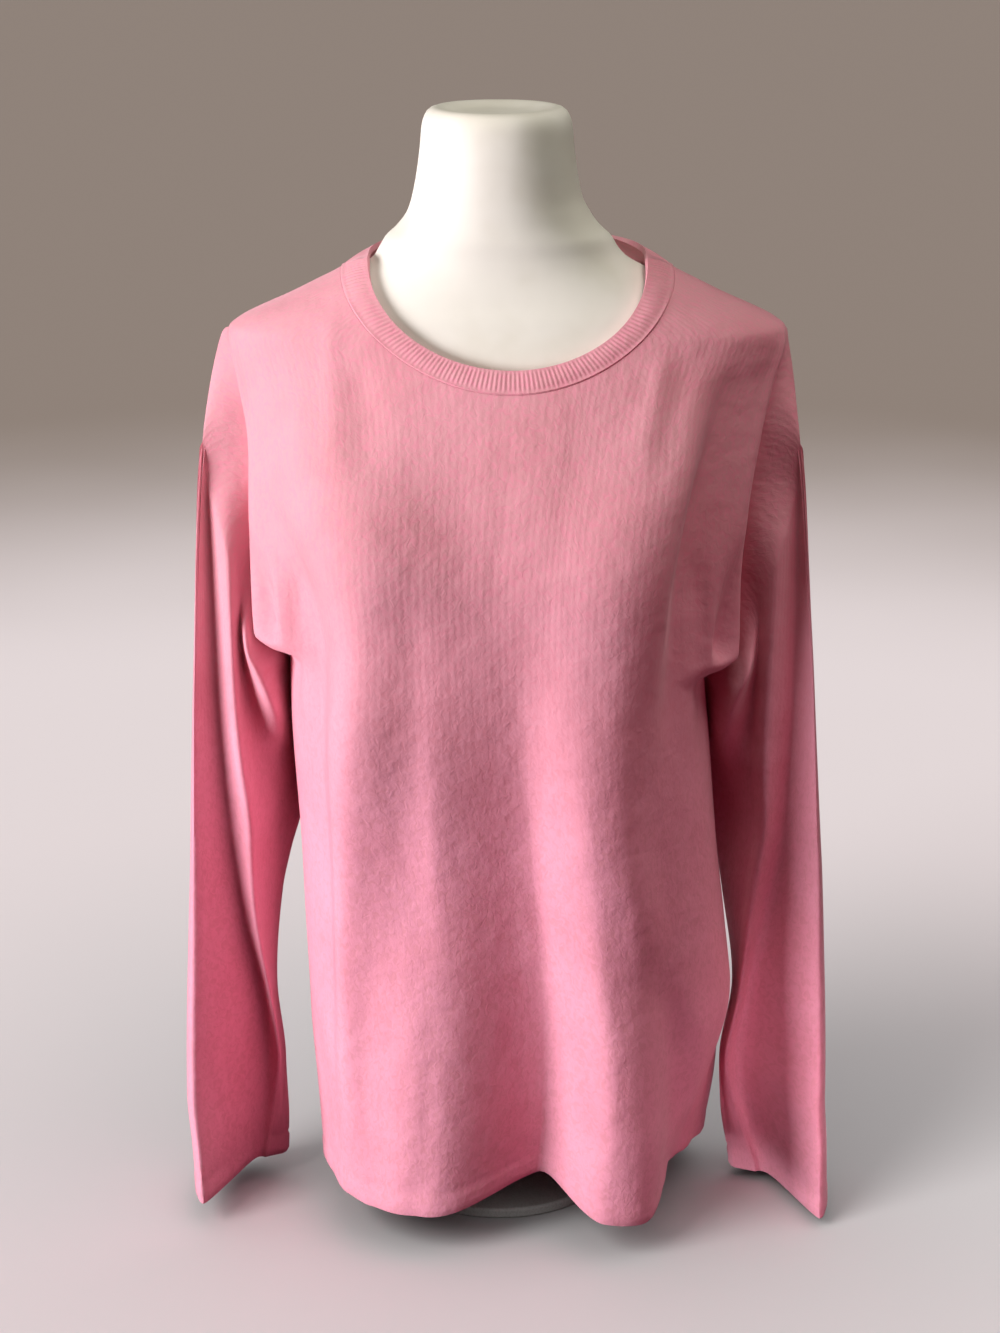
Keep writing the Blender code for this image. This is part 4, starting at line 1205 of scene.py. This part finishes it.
class SWEATER_OT_stage(bpy.types.Operator):
    """Lay the floor and set the lights and the camera"""

    bl_idname = "sweater.stage"
    bl_label = "Stage"

    def execute(self, context):
        stage, scene = context.scene.sweater_stage, context.scene
        paper = bmesh.new()
        bmesh.ops.create_grid(paper, x_segments=1, y_segments=1, size=FLOOR_HALF)
        mesh = bpy.data.meshes.new("floor")
        paper.to_mesh(mesh)
        paper.free()
        floor = bpy.data.objects.new("floor", mesh)
        floor.visible_diffuse = False
        scene.collection.objects.link(floor)
        wear(floor, studio_paper("seamless_paper", stage))

        # The floor and the stand on it have broad lights of their own, and the others are flagged off.
        paper_only, paper_not, knit_only = (
            bpy.data.collections.new(name) for name in ("paper", "all but paper", "knit")
        )
        for piece in (floor, frame["nodes"]["pole"], frame["nodes"]["base"]):
            paper_only.objects.link(piece)
            paper_not.objects.link(piece)
        for piece in scene.objects:
            if piece.name.startswith("knit_"):
                knit_only.objects.link(piece)
        for flagged in paper_not.collection_objects:
            flagged.light_linking.link_state = "EXCLUDE"
        for name, turn, rise, spread, share in WASHES:
            wash = bpy.data.lights.new(name, "SUN")
            wash.energy, wash.angle = stage.wash_power * share, math.radians(spread)
            hang(name, wash, turn, rise, paper_only)

        for name, turn, rise, distance, width, height, spread, aim_x, aim_z, lit in LAMPS:
            lamp = bpy.data.lights.new(name, "AREA")
            lamp.shape, lamp.size, lamp.size_y = "RECTANGLE", width, height
            lamp.spread = math.radians(spread)
            lamp.energy = getattr(stage, name + "_power")
            lamp.color = getattr(stage, name + "_colour")
            light, away = hang(name, lamp, turn, rise, knit_only if lit == "knit" else paper_not)
            light.location = Vector((aim_x, GARMENT_BACK, aim_z)) + away * distance
            light.visible_camera = False

        world = bpy.data.worlds.new("room")
        world.use_nodes = True
        sky = world.node_tree.nodes["Background"]
        sky.inputs["Color"].default_value = opaque(stage.room_colour)
        world.cycles_visibility.diffuse = world.cycles_visibility.glossy = False
        scene.world = world
        scene.view_settings.view_transform = "Standard"

        lens = bpy.data.cameras.new("camera")
        lens.lens = LENS
        camera = bpy.data.objects.new("camera", lens)
        camera.location = (0.0, GARMENT_BACK - stage.camera_distance, stage.camera_height)
        camera.rotation_euler = (math.pi / 2.0 - stage.camera_pitch, 0.0, 0.0)
        scene.collection.objects.link(camera)
        scene.camera = camera
        return {"FINISHED"}


class SWEATER_PT_panel(bpy.types.Panel):
    """Sizes, colours and steps of the sweater"""

    bl_idname = "SWEATER_PT_panel"
    bl_label = "Cashmere sweater"
    bl_space_type = "VIEW_3D"
    bl_region_type = "UI"
    bl_category = "Sweater"

    def draw(self, context):
        for group in ("sweater_knit", "sweater_form", "sweater_stage"):
            box, settings = self.layout.box(), getattr(context.scene, group)
            for key in settings.__annotations__:
                box.prop(settings, key)
        for operator in OPERATORS:
            self.layout.operator(operator.bl_idname)


GROUPS = {"sweater_knit": KnitSettings, "sweater_form": FormSettings, "sweater_stage": StageSettings}
OPERATORS = (
    SWEATER_OT_body,
    SWEATER_OT_sleeves,
    SWEATER_OT_neckband,
    SWEATER_OT_form,
    SWEATER_OT_stage,
)


def register():
    for name, group in GROUPS.items():
        bpy.utils.register_class(group)
        setattr(bpy.types.Scene, name, PointerProperty(type=group))
    for panel in (*OPERATORS, SWEATER_PT_panel):
        bpy.utils.register_class(panel)


def unregister():
    for panel in (SWEATER_PT_panel, *reversed(OPERATORS)):
        bpy.utils.unregister_class(panel)
    for name, group in GROUPS.items():
        delattr(bpy.types.Scene, name)
        bpy.utils.unregister_class(group)


def main():
    register()
    bpy.ops.sweater.body()
    bpy.ops.sweater.sleeves()
    bpy.ops.sweater.neckband()
    bpy.ops.sweater.form()
    bpy.ops.sweater.stage()


if __name__ == "__main__":
    main()
